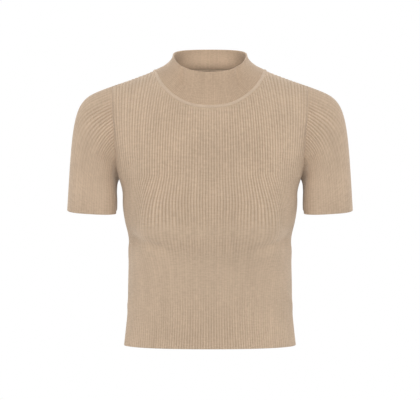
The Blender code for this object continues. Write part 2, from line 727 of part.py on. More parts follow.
def sleeve_ring(count, along, offset):
    """A ring of points round the sleeve. The offset is a number or one for each point."""
    turn = np.arange(count) / count
    along = np.full(count, float(along))
    return sleeve(turn, along) + sleeve_normals(turn, along) * np.reshape(offset, (-1, 1))


def left_sleeve():
    """The wearer's left sleeve, from the armhole down the outside and back up the inside."""
    body = closed(armhole_line(FRONT), armhole_line(BACK))
    line = Line(body[0], unit(body[1]), body[2], unit(body[3]))
    turn = np.arange(len(line.place)) / len(line.place)
    tangent = unit(np.roll(line.place, -1, axis=0) - np.roll(line.place, 1, axis=0))
    own = facing(np.cross(tangent, leaving(turn)), line.place - ARMHOLE_RING.mean(axis=0))
    seam = joined(line._replace(normal=own), line.normal, unit(leaving(turn)), WALL)
    count = 2 * SLEEVE_RIBS
    relief = WALL + rib_relief(np.arange(count) / 2)
    outside = [sleeve_ring(count, along, relief) for along in SLEEVE_ROWS]
    inside = [sleeve_ring(SLEEVE_RIBS // 2, along, 0.0) for along in SLEEVE_ROWS[::-1]]
    return tube("sleeve_left", [seam.outer] + outside + inside + [seam.inner], SLEEVE_COLOUR)


def mirror_image(name, part):
    """A second piece that is the first seen in a mirror across the garment's middle."""
    mesh = part.data.copy()
    mesh.name = name
    mesh.transform(Matrix.Diagonal((-1, 1, 1, 1)))
    mesh.flip_normals()
    mesh.materials.clear()
    mesh.materials.append(knit_material(name + "_knit", SLEEVE_COLOUR))
    twin = bpy.data.objects.new(name, mesh)
    bpy.context.scene.collection.objects.link(twin)


def collar_ring(count, up, offset):
    turn = np.arange(count) / count
    up = np.full(count, float(up))
    return collar(turn, up) + collar_normals(turn, up) * offset


def collar_piece():
    """The mock neck, from the neckline up the outside, over the folded rim and down the inside."""
    seam = joined(NECK_RING, NECK_RING.normal, -NECK_RING.into, COLLAR_WALL)
    count = 2 * NECK_POINTS
    outside = [collar_ring(count, up, COLLAR_WALL) for up in COLLAR_ROWS]
    fold = collar_ring(count, 1.0, COLLAR_WALL / 2) + np.array([0, 0, COLLAR_FOLD])
    inside = [collar_ring(count, up, 0.0) for up in COLLAR_ROWS[::-1]]
    return tube("collar", [seam.outer] + outside + [fold] + inside + [seam.inner], COLLAR_COLOUR)


def neck_seam():
    """The linked ridge that covers the join of collar and body."""
    foot = NECK_RING.place + NECK_RING.normal * (COLLAR_WALL + LINK_LIFT)
    across = NECK_RING.into * LINK_HALF_WIDTH
    up = NECK_RING.normal * LINK_HEIGHT
    return tube("neck_seam", [foot + across * w + up * h for w, h in LINK_SECTION], LINK_COLOUR)


def build():
    for old in list(bpy.data.objects):
        bpy.data.objects.remove(old)
    panel("front", FRONT)
    panel("back", BACK)
    mirror_image("sleeve_right", left_sleeve())
    collar_piece()
    neck_seam()


build()
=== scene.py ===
"""The look of the cropped rib-knit jumper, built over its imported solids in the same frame.

Metres, +Z up. The wearer faces -Y and their left arm is at +X. The cloth follows the same surfaces as the
solids, so their driving values are repeated here, with each rib, fold, seam and stitch modelled finely.
"""

import math
from collections import namedtuple

import bpy
import numpy as np
from mathutils import Matrix, Vector
from mathutils.geometry import delaunay_2d_cdt


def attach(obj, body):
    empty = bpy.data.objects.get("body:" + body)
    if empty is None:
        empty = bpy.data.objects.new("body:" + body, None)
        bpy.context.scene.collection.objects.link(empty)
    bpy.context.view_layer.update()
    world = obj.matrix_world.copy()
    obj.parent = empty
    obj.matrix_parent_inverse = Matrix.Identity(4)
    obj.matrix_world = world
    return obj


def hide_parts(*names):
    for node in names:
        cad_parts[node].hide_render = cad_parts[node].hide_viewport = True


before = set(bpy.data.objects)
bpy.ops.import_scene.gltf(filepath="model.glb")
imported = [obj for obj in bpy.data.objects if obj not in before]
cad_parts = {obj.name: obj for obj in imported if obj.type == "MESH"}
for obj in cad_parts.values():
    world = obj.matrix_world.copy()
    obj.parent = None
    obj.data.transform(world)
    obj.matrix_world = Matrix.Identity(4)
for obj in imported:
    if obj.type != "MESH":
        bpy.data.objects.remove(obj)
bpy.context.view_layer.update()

CM = 0.01
MM = 0.001
FRONT, BACK = -1, 1

# Cloth
WALL = 1.5 * MM  # the knit in a furrow between two ribs
RIB_RELIEF = 1.0 * MM  # how much further a rib stands out
COLLAR_WALL = 2.6 * MM  # the collar is knitted double
SEAM_GAP = 0.05 * MM
PANEL_RIBS = 88  # from side seam to side seam
SLEEVE_RIBS = 68  # round a sleeve
HALF_RIBS = PANEL_RIBS / 2
SIDE_RIB = HALF_RIBS - 0.004
TOP_LEVEL = 2 - 0.0001

# Torso: horizontal sections from hem to underarm, in centimetres. "front" and "back" are the depths either
# side of the side seams, and "square" is the exponent of the section's superellipse.
Section = namedtuple("Section", "height half_width front back square")
TORSO = (
    Section(-47.9, 14.80, 9.6, 9.6, 2.30),
    Section(-45.2, 14.50, 9.3, 9.2, 2.30),
    Section(-42.0, 14.20, 9.1, 8.7, 2.30),
    Section(-37.5, 14.13, 9.0, 8.3, 2.30),
    Section(-32.5, 14.03, 9.3, 8.4, 2.30),
    Section(-29.0, 14.05, 9.7, 8.8, 2.35),
    Section(-26.5, 14.60, 10.0, 9.2, 2.45),
    Section(-23.5, 15.00, 10.2, 9.6, 2.55),
    Section(-20.8, 15.10, 10.2, 9.8, 2.65),
    Section(-18.4, 15.75, 10.0, 10.0, 2.80),
)
HEM_HEIGHT = TORSO[0].height * CM
UNDERARM_HEIGHT = TORSO[-1].height * CM

# Bust: one soft swelling each side of the centre line of the front
BUST_PLACE = 9.5 * CM  # from the centre line
BUST_HEIGHT = -27.4 * CM
BUST_DEPTH = 2.3 * CM
BUST_HALF_WIDTH = 5.6 * CM
BUST_RISE = 6.6 * CM  # how softly it fades upwards
BUST_FALL = 3.1 * CM  # and downwards
BUST_SIDE = (10.8 * CM, 14.8 * CM)  # it dies away between these distances from the centre line

# Spread of the front's ribs, by height in centimetres. "swell" is the share by which they are wider than even
# in a band around SPREAD_PLACE. "fan" is the share by which they are wider at the centre line and narrower at
# the side seam.
Spread = namedtuple("Spread", "height swell fan")
RIB_SPREAD = (
    Spread(-47.9, -0.16, -0.02),
    Spread(-42.0, -0.08, 0.00),
    Spread(-36.0, 0.06, 0.06),
    Spread(-31.5, 0.36, 0.14),
    Spread(-29.0, 0.64, 0.20),
    Spread(-26.5, 0.52, 0.13),
    Spread(-22.5, 0.11, 0.03),
    Spread(-18.4, -0.17, -0.11),
)
SPREAD_PLACE = 0.44  # the middle of the band, as a share of the way from the centre line to the side seam
SPREAD_WIDTH = 0.12
SPREAD_STEPS = 100  # in which the ribs' widths are added up

# Shoulders: the ridge that the front and back meet on, in centimetres from the centre line. Inside the
# neckline it only shapes the cloth around the neck.
RIDGE = ((0.0, 4.5), (5.0, 3.1), (9.9, -0.11), (12.2, -1.05), (14.6, -1.92), (17.0, -2.72))
RIDGE_DEPTH = 0.5 * CM  # the shoulder seams lie this far behind the side seams
SHOULDER_REACH = 17.0 * CM
ARMHOLE_RIB = 37  # the rib that runs beside the armhole up to the shoulder point
NECK_RIB = 25  # the rib that ends where the neckline meets the shoulder seam
# The neckline draws the ribs around it in: rib numbers, and how far from the centre line each one reaches the
# ridge, in centimetres
RIDGE_RIBS = (
    *((0.0, 0.00), (4.0, 1.34), (8.0, 2.53), (12.0, 3.71), (16.0, 4.95), (20.0, 6.64), (22.5, 8.04)),
    *((25.0, 9.60), (28.0, 11.60), (31.0, 13.60), (34.0, 15.40), (37.0, 17.00), (46.0, 21.13)),
)
DRAWN_LATE = 2.8  # the higher, the closer to the neckline the ribs begin to lean
# How flat the rise to the shoulder is, at the centre line and at the armhole
CHEST_SLOPE = {FRONT: (1.20, 0.90), BACK: (0.90, 0.90)}
ARMHOLE_SCOOP = 0.36  # level that the armhole's rounded foot takes up

# Neckline, seen from the front: distance from the centre line and height, in centimetres
NECKLINE = {
    FRONT: (
        *((0.0, -6.66), (1.6, -6.56), (3.1, -6.32), (4.5, -5.80)),
        *((6.0, -4.91), (7.5, -3.57), (8.7, -1.90), (9.6, 0.00)),
    ),
    BACK: ((0.0, 0.80), (3.0, 0.75), (6.0, 0.55), (9.6, 0.00)),
}

# Collar rim, in centimetres: a superellipse in plan that tilts down towards the front
RIM_HALF_WIDTH = 6.28
RIM_CENTRE = 1.0  # its widest place, behind the side seams
RIM_FRONT = -6.5
RIM_BACK = 6.2
RIM_SQUARE = {FRONT: 2.4, BACK: 2.1}
RIM_TILT = (2.655, 0.383, -0.0182)  # height = a + b y + c y^2
RIM_LEAN = 0.12  # how much the top of the collar leans inwards
COLLAR_DENT = 2.6 * MM  # the soft hollow either side of the collar's front
COLLAR_DENT_TURN = 0.085  # its distance round from the front centre
COLLAR_DENT_SPREAD = 0.02
COLLAR_HANDLE = 0.38  # of the curve from neckline to rim, as a share of its length
COLLAR_FOLD = 0.6 * MM  # how far the rim's fold stands above the ends of its two layers
FRONT_TURN = 0.25  # the turn at the collar's front centre

# Sleeves, in centimetres: the cuff is a superellipse square to the arm
CUFF_CENTRE = (20.75, 0.0, -24.32)
CUFF_HALF_WIDTH = 4.0
CUFF_HALF_DEPTH = 4.5
CUFF_SQUARE = 3.2
CUFF_SLOPE = (0.06, 0.15)  # rise of the cuff's edge per unit outwards and backwards
ARM_LEAN = 0.06  # the arm leans out by this much per unit down
ARM_AXIS = ((19.5, 0.2, -9.5), (20.5, 0.0, -17.0))  # the handles of a curve down the middle of the sleeve
SLEEVE_FORWARD = 0.16  # how much the sleeve's front and back spread as they leave the armhole
SLEEVE_FLATNESS = 0.5  # below 1 spreads them nearly as much close to the top and the underarm
# How steeply the sleeve leaves the armhole, in degrees below level, and how long the two handles of its
# curve are as shares of the distance from armhole to cuff.
Handle = namedtuple("Handle", "turn slope near far")
SLEEVE_FLOW = (
    Handle(0.00, 21, 0.31, 0.88),
    Handle(0.12, 25, 0.36, 0.79),
    Handle(0.25, 35, 0.33, 0.42),
    Handle(0.38, 34, 0.27, 0.45),
    Handle(0.50, 30, 0.17, 0.60),
)

# Neck seam: a raised linked ridge over the join of collar and body
LINK_HALF_WIDTH = 3.0 * MM
LINK_HEIGHT = 2.2 * MM
LINK_LIFT = -1.1 * MM  # the ridge's foot lies this far over the collar's cloth
LINK_STITCHES = 198
LINK_FINE = 6  # sections of each stitch
LINK_POINTS = 9  # of each section
LINK_FULLNESS = 0.8  # below 1 gives the section fuller sides
LINK_DIP = 0.16  # how much lower and slimmer the ridge is between two stitches
LINK_NARROWING = 0.3
LINK_SLANT = 0.3  # how far a stitch leans, as a share of its length

# How far to either side a surface is read for its normal, and the nearest places to its ends for that
RIB_PROBE = 0.3
LEVEL_PROBE = 0.01
LEVEL_MARGIN = 0.011
TURN_PROBE = 0.004
ALONG_PROBE = 0.02
ALONG_MARGIN = 0.0202
WITHIN = 0.6  # share of a point's distance from the centre line at which the body surely lies within
# How many ribs and levels away the way from a seam into a panel is read
ARMHOLE_IN = (-1.0, -0.02)
NECK_IN = (0.5, -0.02)
SIDE_IN = (-1.0, 0.0)
SHOULDER_IN = (0.0, -0.03)
TINY = 1e-6  # less than anything that is measured
# Points that the lines are worked out from
SECTION_POINTS = 401
CUFF_POINTS = 361
ARMHOLE_FINE = 240
NECK_FINE = 241
FOOT_POINTS = 60
HALVINGS = 24

# How finely the cloth is made. Lengths are in rib widths, on a panel that is laid flat.
FINE = 6  # points of the outer cloth for each rib
INNER_FINE = 3  # and of the inner cloth
HEM_ROWS = (0.35, 0.95)  # rows of points close to the hem
FIRST_ROW = 2.0  # where the even rows start
ROW_STEP = 1.1
LAST_ROW_CLEARANCE = 0.4  # how far short of the shoulder they end
FLAT_HEIGHTS = (0.0, 83.0, 133.0)  # of hem, underarm and shoulder
EDGE_CLEARANCE = 0.3  # between a panel's edge and the points inside it
NEARBY = 4.0  # an edge further up or down than this is left out when that is measured
ARMHOLE_POINTS = 132
NECK_POINTS = 180
CURVED_LEVEL = 0.95  # the armholes and the neckline lie above this level
SEAM_FLAT = 0.15  # the cloth stays flat this close to a seam
SEAM_FADE = 1.0  # and from there the ribs rise over this width
FOLD_FADE = 5.0  # over which the creases rise from a side seam
CLOSING_RIBS = 8.0  # the panels are drawn together over this width along the side seams
SLEEVE_ROWS = np.concatenate([(0.006, 0.016), np.linspace(0.03, 0.985, 54), (0.994, 1.0)])
COLLAR_ROWS = np.concatenate([(0.015, 0.03), np.linspace(0.06, 1.0, 27)])
RIM_RINGS = 7  # over the fold at the collar's rim, with the two that it starts and ends on
COLLAR_FINE = 4

# Knit
RIB_WIDTH = 3.5 * MM
RIB_ROUND = 0.62  # below 1 gives full ribs and narrow furrows
INNER_RELIEF = 0.4 * MM  # how far the inside follows the ribs outwards
RUN_UP = (0.0, 0.292, 0.482)  # length of cloth from the hem up to the underarm and to the shoulder
COLLAR_RIBS = 190
COLLAR_RELIEF = 0.28 * MM
COLLAR_FADE = 0.08  # the collar's ribs rise from its seam over this share of its height
RIM_RIBS = 0.4  # how high they are on the rim's fold, as a share
MEAN_RIB = 0.6  # height of the flat cloth along a seam, as a share of a rib's
SEAM_WALL = WALL + MEAN_RIB * RIB_RELIEF
# How clearly the ribs of a panel stand out, by height in centimetres, near the centre line and further out
Strength = namedtuple("Strength", "height middle outer")
STRENGTH = (
    Strength(-48.0, 1.15, 1.00),
    Strength(-44.0, 1.05, 0.80),
    Strength(-41.0, 0.80, 0.55),
    Strength(-38.0, 0.50, 0.40),
    Strength(-35.0, 0.32, 0.35),
    Strength(-32.3, 0.42, 0.40),
    Strength(-31.0, 0.75, 0.50),
    Strength(-29.5, 0.85, 0.60),
    Strength(-27.8, 0.55, 0.50),
    Strength(-26.6, 1.05, 1.15),
    Strength(-25.3, 1.20, 1.35),
    Strength(-19.0, 1.25, 1.50),
    Strength(-12.0, 1.30, 1.40),
    Strength(-5.0, 1.15, 1.15),
    Strength(0.0, 0.90, 0.90),
)
STRENGTH_TURNS = (0.04, 0.09)  # distances from the centre line between which the one gives way to the other
BACK_EVENING = 0.6  # the back's ribs vary by this share as much
SLEEVE_STRENGTH = (0.42, 1.3)  # over most of a sleeve, and on its head
HEAD_RISE = (0.07, 0.15)  # turns from the sleeve's top over which the head's ribs rise
HEAD_FALL = (0.27, 0.38)  # and those over which they fade again
HEAD_LENGTH = (0.16, 0.44)  # shares of the way to the cuff over which they fade

# Creases: start, end, width and depth in millimetres. A negative depth is a ridge. Over these shares of its
# length each one rises and dies away.
CREASE_RISE = (-0.15, 0.25)
CREASE_FALL = (0.6, 1.15)
# On the body the ends are in centimetres, seen from the front. x grows towards the wearer's left.
BODY_CREASES = {
    FRONT: (
        ((15.2, -18.6), (10.4, -14.6), 6.0, 1.2),
        ((15.4, -19.6), (9.6, -18.2), 7.0, 1.0),
        ((15.4, -21.0), (10.2, -23.4), 7.0, 0.8),
        ((14.9, -26.0), (12.4, -30.4), 5.0, 2.6),
        ((13.6, -29.2), (6.6, -31.6), 5.5, 4.4),
        ((14.6, -30.2), (12.6, -33.6), 6.0, -1.2),
        ((13.0, -38.6), (14.9, -42.8), 3.5, -1.8),
        ((-15.2, -18.4), (-10.8, -14.0), 6.0, 1.0),
        ((-15.4, -19.8), (-9.2, -18.6), 7.5, 1.1),
        ((-15.3, -21.4), (-10.4, -24.0), 7.0, 0.8),
        ((-14.9, -26.2), (-12.3, -30.3), 5.0, 2.8),
        ((-13.6, -29.1), (-6.4, -31.4), 5.5, 4.6),
        ((-14.6, -30.0), (-12.6, -33.8), 6.0, -1.2),
        ((-12.9, -38.6), (-14.6, -42.2), 3.5, -1.8),
    ),
    BACK: (
        ((15.2, -18.4), (9.0, -13.2), 8.0, 1.8),
        ((15.0, -20.6), (6.0, -19.4), 9.0, 1.5),
        ((13.6, -27.0), (3.0, -29.0), 10.0, 1.8),
        ((13.4, -31.0), (4.0, -34.5), 10.0, 1.6),
        ((-15.2, -18.6), (-9.4, -13.8), 8.0, 1.7),
        ((-15.0, -20.2), (-5.0, -19.8), 9.0, 1.6),
        ((-13.6, -28.0), (-2.0, -31.0), 10.0, 1.9),
        ((-13.4, -32.0), (-5.0, -37.5), 11.0, 1.4),
    ),
}
HEM_RIPPLE = 0.9 * MM  # the hem's edge waves by this much
HEM_RIPPLE_FADE = (1 * CM, 11 * CM)  # heights above the hem between which that dies away
HEM_WAVES = (78.0, 131.0)  # two waves, in radians a metre
HEM_SECOND = (0.6, 2.0)  # share and phase of the second
# On a sleeve and on the collar the ends are turns and shares of the length.
SLEEVE_CREASES = (
    ((0.44, 0.02), (0.27, 0.34), 7.0, 2.0),
    ((0.47, 0.18), (0.30, 0.62), 8.0, 1.5),
    ((0.30, 0.55), (0.16, 0.80), 9.0, 0.9),
    ((0.56, 0.02), (0.72, 0.36), 7.0, 1.9),
    ((0.53, 0.22), (0.70, 0.66), 8.0, 1.4),
    ((0.39, 0.0), (0.39, 1.8), 13.0, -4.5),
    ((0.61, 0.0), (0.61, 1.8), 13.0, -3.5),
)
COLLAR_CREASES = (
    ((0.376, 1.15), (0.345, 0.10), 4.6, 3.0),
    ((0.124, 1.15), (0.155, 0.10), 4.6, 2.8),
)
# Mean girths and lengths of sleeve and collar, by which their creases are measured
SLEEVE_ROUND, SLEEVE_LONG = 0.30, 0.17
COLLAR_ROUND, COLLAR_LONG = 0.44, 0.055

# Overlocked seams
THREAD_PITCH = 2.2 * MM
THREAD_FINE = 5  # sections of each stitch
THREAD_POINTS = 12  # of each section
THREAD_SWELL = 0.18
THREAD_SLANT = 0.4
OVERLOCK_HALF_WIDTH = 2.4 * MM
OVERLOCK_DEPTH = 0.9 * MM
OVERLOCK_TURN = 0.8  # how far to one side the allowances lie
OVERLOCK_SUNK = 0.3 * MM
SIDE_SEAM = (0.004, 0.985, 120)  # levels of the side seam's ends, and points along it
SHOULDER_SEAM = (NECK_RIB + 0.9, ARMHOLE_RIB - 0.8, 60)  # ribs at the shoulder seam's ends, and points

# Looks
YARN = (0.486, 0.365, 0.262, 1.0)
SLEEVE_COLOUR = (0.482, 0.361, 0.26, 1.0)
COLLAR_COLOUR = (0.447, 0.326, 0.228, 1.0)
# painted highlight: the linked ridge is painted lighter than the knit, for the light its raised ridge catches
LINK_COLOUR = (0.55, 0.425, 0.317, 1.0)
THREAD_COLOUR = (0.56, 0.44, 0.32, 1.0)
SOFTNESS = {  # of all the yarns' shaders
    "Specular IOR Level": 0.2,
    "Sheen Weight": 0.8,
    "Sheen Roughness": 0.4,
    "Sheen Tint": (1.0, 0.86, 0.72, 1.0),
}
BUMP_DEPTH = 0.5 * MM
KNIT_BUMP = 0.6
COLLAR_BUMP = 0.45
THREAD_BUMP = 0.5
COURSE = 1.7 * MM  # height of one row of stitches
COLLAR_COURSE = 1.5 * MM
FURROW_PAINTED_SHADE = 0.62  # painted shade: how much darker the furrows are painted than the ribs
# painted shade in the collar's furrows, as above
COLLAR_FURROW_PAINTED_SHADE = 0.35
FURROW_SHADE_TINT = (-0.35, -0.44, -0.51)  # how much of red, green and blue the darkest painted furrow shade takes away
# painted highlight: the stitches' raised legs are painted lighter by this share, given as a negative shade
STITCH_PAINTED_HIGHLIGHT = -0.08
STITCH_SLANT = 1.5  # how far the legs of a stitch rise, in rows for each rib's width
STITCH_PARTING = 0.09  # half the width between the legs, in rib widths
KNIT_RELIEF = (0.55, 0.3, 0.35)  # shares of the stitches, the parting and the fibres in the fine relief
COLLAR_INSIDE_PAINTED_LIGHT = 1.22  # painted light: how much lighter the collar's inner layer is painted, for light inside the neck
COLLAR_DEEP_PAINTED_LIGHT = 1.06  # and once more towards the neckline, as more painted light
COLLAR_PAINTED_LIGHT_HEIGHTS = (-44 * MM, -16.5 * MM)  # the painted light rises between these heights, which are negative on the inner layer
LAYER_BLEND = 4 * MM  # over which the inner layer's painted light meets the outer layer's colour at the neckline
# Unevenness of the yarn: how often it changes across the ribs and along them, and its share in the colour
Mottle = namedtuple("Mottle", "across along place detail roughness share")
STREAK = Mottle(3.7, 9.0, 0.0, 1.0, 0.5, 0.25)  # from one rib to the next
MARL = Mottle(2.0, 260.0, 7.0, 3.0, 0.65, 0.35)
SLUB = Mottle(0.45, 430.0, 3.0, 2.0, 0.6, 0.6)
CLOUD = (16.0, 0.35)  # scale, and share in the colour
TONES = (0.50, 1.05)  # the sums of these that give the darkest and the lightest yarn
KNIT_SHADES = (0.86, 1.14)
KNIT_ROUGHNESS = (0.3, 0.9, 0.84, 0.97)  # from one value of the fibres to another, and the roughness at each
STITCH_ROUGHNESS = 0.2
FIBRE = (1500.0, 3.0, 0.6)  # scale, detail and roughness
THREAD_FIBRE = (1600.0, 3.0, 0.6)
THREAD_CLOUD = 40.0
STRANDS = 3.0  # strands that cross each stitch of a seam
STRAND_SLANT = 1.6
THREAD_SHADES = (1.06, 0.93, 0.7)  # light and dark yarn, and the painted shade in the dip between two stitches
THREAD_TONES = (0.3, 0.7, 0.0, 1.0)
THREAD_PAINTED_GAP_SHADE = (0.6, 1.0, 0.35, 0.0)  # how much of that painted shade shows, from one swell to another: most where the cord dips between stitches
THREAD_RELIEF = (0.6, 0.4)  # shares of the strands and the fibres
THREAD_ROUGHNESS = (0.3, 0.8, 0.82, 0.95)

# Studio
GARMENT_MIDDLE = (0.0, 0.0, -0.22)
FLOOR_HEIGHT = -1.45
FLOOR_EDGE = 4.0  # from the middle
FLOOR_COLOURS = ((0.70, 0.70, 0.696, 1.0), (0.75, 0.75, 0.746, 1.0))
FLOOR_CLOUD = (1.2, 3.0)  # scale and detail
FLOOR_GRAIN = 120.0
FLOOR_ROUGHNESS = (0.3, 0.7, 0.75, 0.9)
BACKDROP = 1.0  # brightness of the white room where the camera sees it, and as the light that it gives
ROOM_LIGHT = 0.52
# Lamps: name, place, size and watts. Those beside the middle have a twin on the other side.
LAMPS = (
    ("fill", (0.0, -4.2, 0.0), (2.0, 2.0), 38.0),
    ("key", (1.3, -3.4, 1.8), (2.0, 2.0), 28.0),
    ("top", (0.0, -1.2, 2.4), (1.2, 1.2), 8.0),
    ("side", (2.8, 0.3, 0.3), (1.2, 2.0), 20.0),
    ("back", (0.0, 3.6, 0.9), (2.6, 2.0), 45.0),
)
CAMERA_PLACE = (0.0, -3.0, -0.2254)
CAMERA_LENS = 146.57
CAMERA_SENSOR = 36.0


def smooth(x, xs, ys):
    """A smooth curve through the points (xs, ys), read at x."""
    xs, ys = np.asarray(xs, float), np.asarray(ys, float)
    slope = np.gradient(ys, xs)
    i = np.clip(np.searchsorted(xs, x) - 1, 0, len(xs) - 2)
    step = xs[i + 1] - xs[i]
    t = np.clip((x - xs[i]) / step, 0, 1)
    near = (1 + 2 * t) * (1 - t) ** 2 * ys[i] + t * (1 - t) ** 2 * step * slope[i]
    far = t**2 * (3 - 2 * t) * ys[i + 1] + t**2 * (t - 1) * step * slope[i + 1]
    return near + far


def soft_step(x, low, high):
    t = np.clip((x - low) / (high - low), 0, 1)
    return t * t * (3 - 2 * t)


def bell(x, width):
    return np.exp(-0.5 * (x / width) ** 2)


def signed_power(x, power):
    return np.sign(x) * np.abs(x) ** power


def waves(number):
    """A wave with a crest on each whole number."""
    return np.cos(2 * math.pi * number)


def running(steps):
    """How far along a line each of its points lies, from the lengths of its steps."""
    return np.concatenate([[0], np.cumsum(steps)])


def vectors_at(at, places, vectors):
    """Vectors that are known at places along a line, read anywhere on it."""
    return np.stack([np.interp(at, places, part) for part in vectors.T], -1)


def column(table, name):
    return [getattr(row, name) for row in table]


def at_height(table, name, height):
    return smooth(height / CM, column(table, "height"), column(table, name))


def unit(vectors):
    return vectors / np.linalg.norm(vectors, axis=-1, keepdims=True)


def points(x, y, z):
    return np.stack(np.broadcast_arrays(x, y, z), axis=-1).astype(float)


# ---- the torso's surface


def bust(x, z):
    """How far the bust swells the front forward."""
    fade = bell(z - BUST_HEIGHT, np.where(z > BUST_HEIGHT, BUST_RISE, BUST_FALL))
    sides = bell(x + BUST_PLACE, BUST_HALF_WIDTH) + bell(x - BUST_PLACE, BUST_HALF_WIDTH)
    return BUST_DEPTH * fade * sides * (1 - soft_step(np.abs(x), *BUST_SIDE))


def half_section(height, side):
    """A section from the centre line to the side seam: share of its length, x and y."""
    half_width = at_height(TORSO, "half_width", height) * CM
    depth = at_height(TORSO, "front" if side == FRONT else "back", height) * CM
    power = 2 / at_height(TORSO, "square", height)
    turn = np.linspace(0, math.pi / 2, SECTION_POINTS)
    x = half_width * np.sin(turn) ** power
    y = side * depth * np.cos(turn) ** power
    if side == FRONT:
        y = y - bust(x, height)
    run = running(np.hypot(np.diff(x), np.diff(y)))
    return run / run[-1], x, y


def rib_shares(height):
    """Shares of the ribs, counted from the centre line, and the shares of the section's length they take."""
    part = np.linspace(0, 1, SPREAD_STEPS + 1)
    width = 1 + at_height(RIB_SPREAD, "swell", height) * bell(part - SPREAD_PLACE, SPREAD_WIDTH)
    width += at_height(RIB_SPREAD, "fan", height) * np.cos(math.pi * part)
    run = running(width[1:] + width[:-1])
    return part, run / run[-1]


def on_section(rib, height, side):
    """x and y of a rib on one section. The ribs are evenly spaced, but for those that the bust stretches."""
    share, x, y = half_section(height, side)
    part = np.clip(np.abs(rib) / HALF_RIBS, 0, 1)
    if side == FRONT:
        part = np.interp(part, *rib_shares(height))
    return np.sign(rib) * np.interp(part, share, x), np.interp(part, share, y)


def ridge_height(x):
    return smooth(np.abs(x) / CM, *zip(*RIDGE)) * CM


def torso(rib, level, side):
    """Points of the torso, front or back, for arrays of rib numbers and levels."""
    rib, level = np.broadcast_arrays(np.asarray(rib, float), np.asarray(level, float))
    low = HEM_HEIGHT + (UNDERARM_HEIGHT - HEM_HEIGHT) * np.clip(level, 0, 1)
    x, y = np.zeros(rib.shape), np.zeros(rib.shape)
    for height in np.unique(low):
        here = low == height
        x[here], y[here] = on_section(rib[here], height, side)
    # Above the underarm each rib rises on part of an ellipse to the shoulder ridge.
    lift = np.clip(level - 1, 0, 1) * math.pi / 2
    flat = np.interp(np.abs(rib), (0, ARMHOLE_RIB), CHEST_SLOPE[side])
    even_x = rib * SHOULDER_REACH / ARMHOLE_RIB
    ridge_x = np.sign(rib) * smooth(np.abs(rib), *zip(*RIDGE_RIBS)) * CM
    rise = np.sin(lift) ** flat
    x_up = x + (even_x - x) * np.sin(rise * math.pi / 2) + (ridge_x - even_x) * rise**DRAWN_LATE
    z = low + (ridge_height(ridge_x) - low) * rise * (level > 1)
    swell = 1 if side == FRONT else 0
    y_plain = y + swell * bust(x, low)
    y_up = RIDGE_DEPTH + (y_plain - RIDGE_DEPTH) * np.cos(lift) ** flat - swell * bust(x_up, z)
    upper = level > 1
    return points(np.where(upper, x_up, x), np.where(upper, y_up, y), z)


def normals(surface, u, v, du, dv, outward):
    """Unit normals of a surface, turned to the side that outward, an array of directions, points to."""
    across = surface(u + du, v) - surface(u - du, v)
    along = surface(u, v + dv) - surface(u, v - dv)
    normal = unit(np.cross(across, along))
    return normal * np.sign(np.sum(normal * outward, axis=-1, keepdims=True))


def torso_normals(rib, level, side):
    inside = np.clip(level, LEVEL_MARGIN, 2 - LEVEL_MARGIN)
    place = torso(rib, inside, side)
    outward = place - points(WITHIN * place[:, 0], 0, np.minimum(place[:, 2], UNDERARM_HEIGHT))
    return normals(lambda u, v: torso(u, v, side), rib, inside, RIB_PROBE, LEVEL_PROBE, outward)


# ---- the lines that pieces are cut and joined on


def neck_level(rib, side):
    """The level at which each rib meets the neckline, found by halving."""
    rib = np.asarray(rib, float)
    low, high = np.ones(rib.shape), np.full(rib.shape, 2.0)
    for _ in range(HALVINGS):
        middle = (low + high) / 2
        place = torso(rib, middle, side)
        under = place[..., 2] < smooth(np.abs(place[..., 0]) / CM, *zip(*NECKLINE[side])) * CM
        low, high = np.where(under, middle, low), np.where(under, high, middle)
    return high


def scoop_level(rib):
    """The level of the armhole's rounded foot, for ribs beyond the one beside the armhole."""
    part = np.clip((HALF_RIBS - np.abs(rib)) / (HALF_RIBS - ARMHOLE_RIB), 0, 1)
    return 1 + ARMHOLE_SCOOP * (1 - np.sqrt(1 - part**2))


def evenly(rib, level, side, count):
    """count + 1 points evenly spaced along a line drawn on the torso."""
    place = torso(rib, level, side)
    run = running(np.linalg.norm(np.diff(place, axis=0), axis=1))
    at = np.linspace(0, run[-1], count + 1)
    return np.interp(at, run, rib), np.interp(at, run, level)


def armhole(side, count=ARMHOLE_POINTS):
    """The armhole on the wearer's left, from the shoulder point down to the underarm: rib and level."""
    foot = HALF_RIBS - np.cos(np.linspace(0, math.pi / 2, FOOT_POINTS)) * (HALF_RIBS - ARMHOLE_RIB)
    rib = np.concatenate([np.full(FOOT_POINTS, float(ARMHOLE_RIB)), foot[1:]])
    level = np.concatenate([np.linspace(2, 1 + ARMHOLE_SCOOP, FOOT_POINTS), scoop_level(foot)[1:]])
    return evenly(rib, level, side, count)


def neckline(side, count=NECK_POINTS):
    """The neckline from the wearer's left to their right: rib and level."""
    rib = NECK_RIB * np.cos(np.linspace(0, math.pi, NECK_FINE))
    return evenly(rib, neck_level(rib, side), side, count)


Line = namedtuple("Line", "place normal tangent into")


def line_on_torso(rib, level, side, into_rib, into_level):
    """A line on the torso with its normals, its directions and, at each point, the way into the panel."""
    rib = np.clip(rib, -SIDE_RIB, SIDE_RIB)
    level = np.minimum(level, TOP_LEVEL)
    place = torso(rib, level, side)
    tangent = unit(np.gradient(place, axis=0))
    into = torso(rib + into_rib, level + into_level, side) - place
    into -= np.sum(into * tangent, axis=1, keepdims=True) * tangent
    return Line(place, torso_normals(rib, level, side), tangent, unit(into))


def joined(line, normal, away, wall):
    """The inner and outer edge of the cloth that leaves a seam line in a direction, with its wall cut on the
    mitre between its own normal and that of the cloth on the other side."""
    mitre = (line.normal + normal) / (1 + np.sum(line.normal * normal, axis=1, keepdims=True))
    inner = line.place + away * SEAM_GAP / 2
    return np.stack([inner, inner + mitre * wall])


def armhole_line(side):
    return line_on_torso(*armhole(side), side, *ARMHOLE_IN)


def neck_line(side):
    rib, level = neckline(side)
    return line_on_torso(rib, level, side, np.sign(rib) * NECK_IN[0], NECK_IN[1])


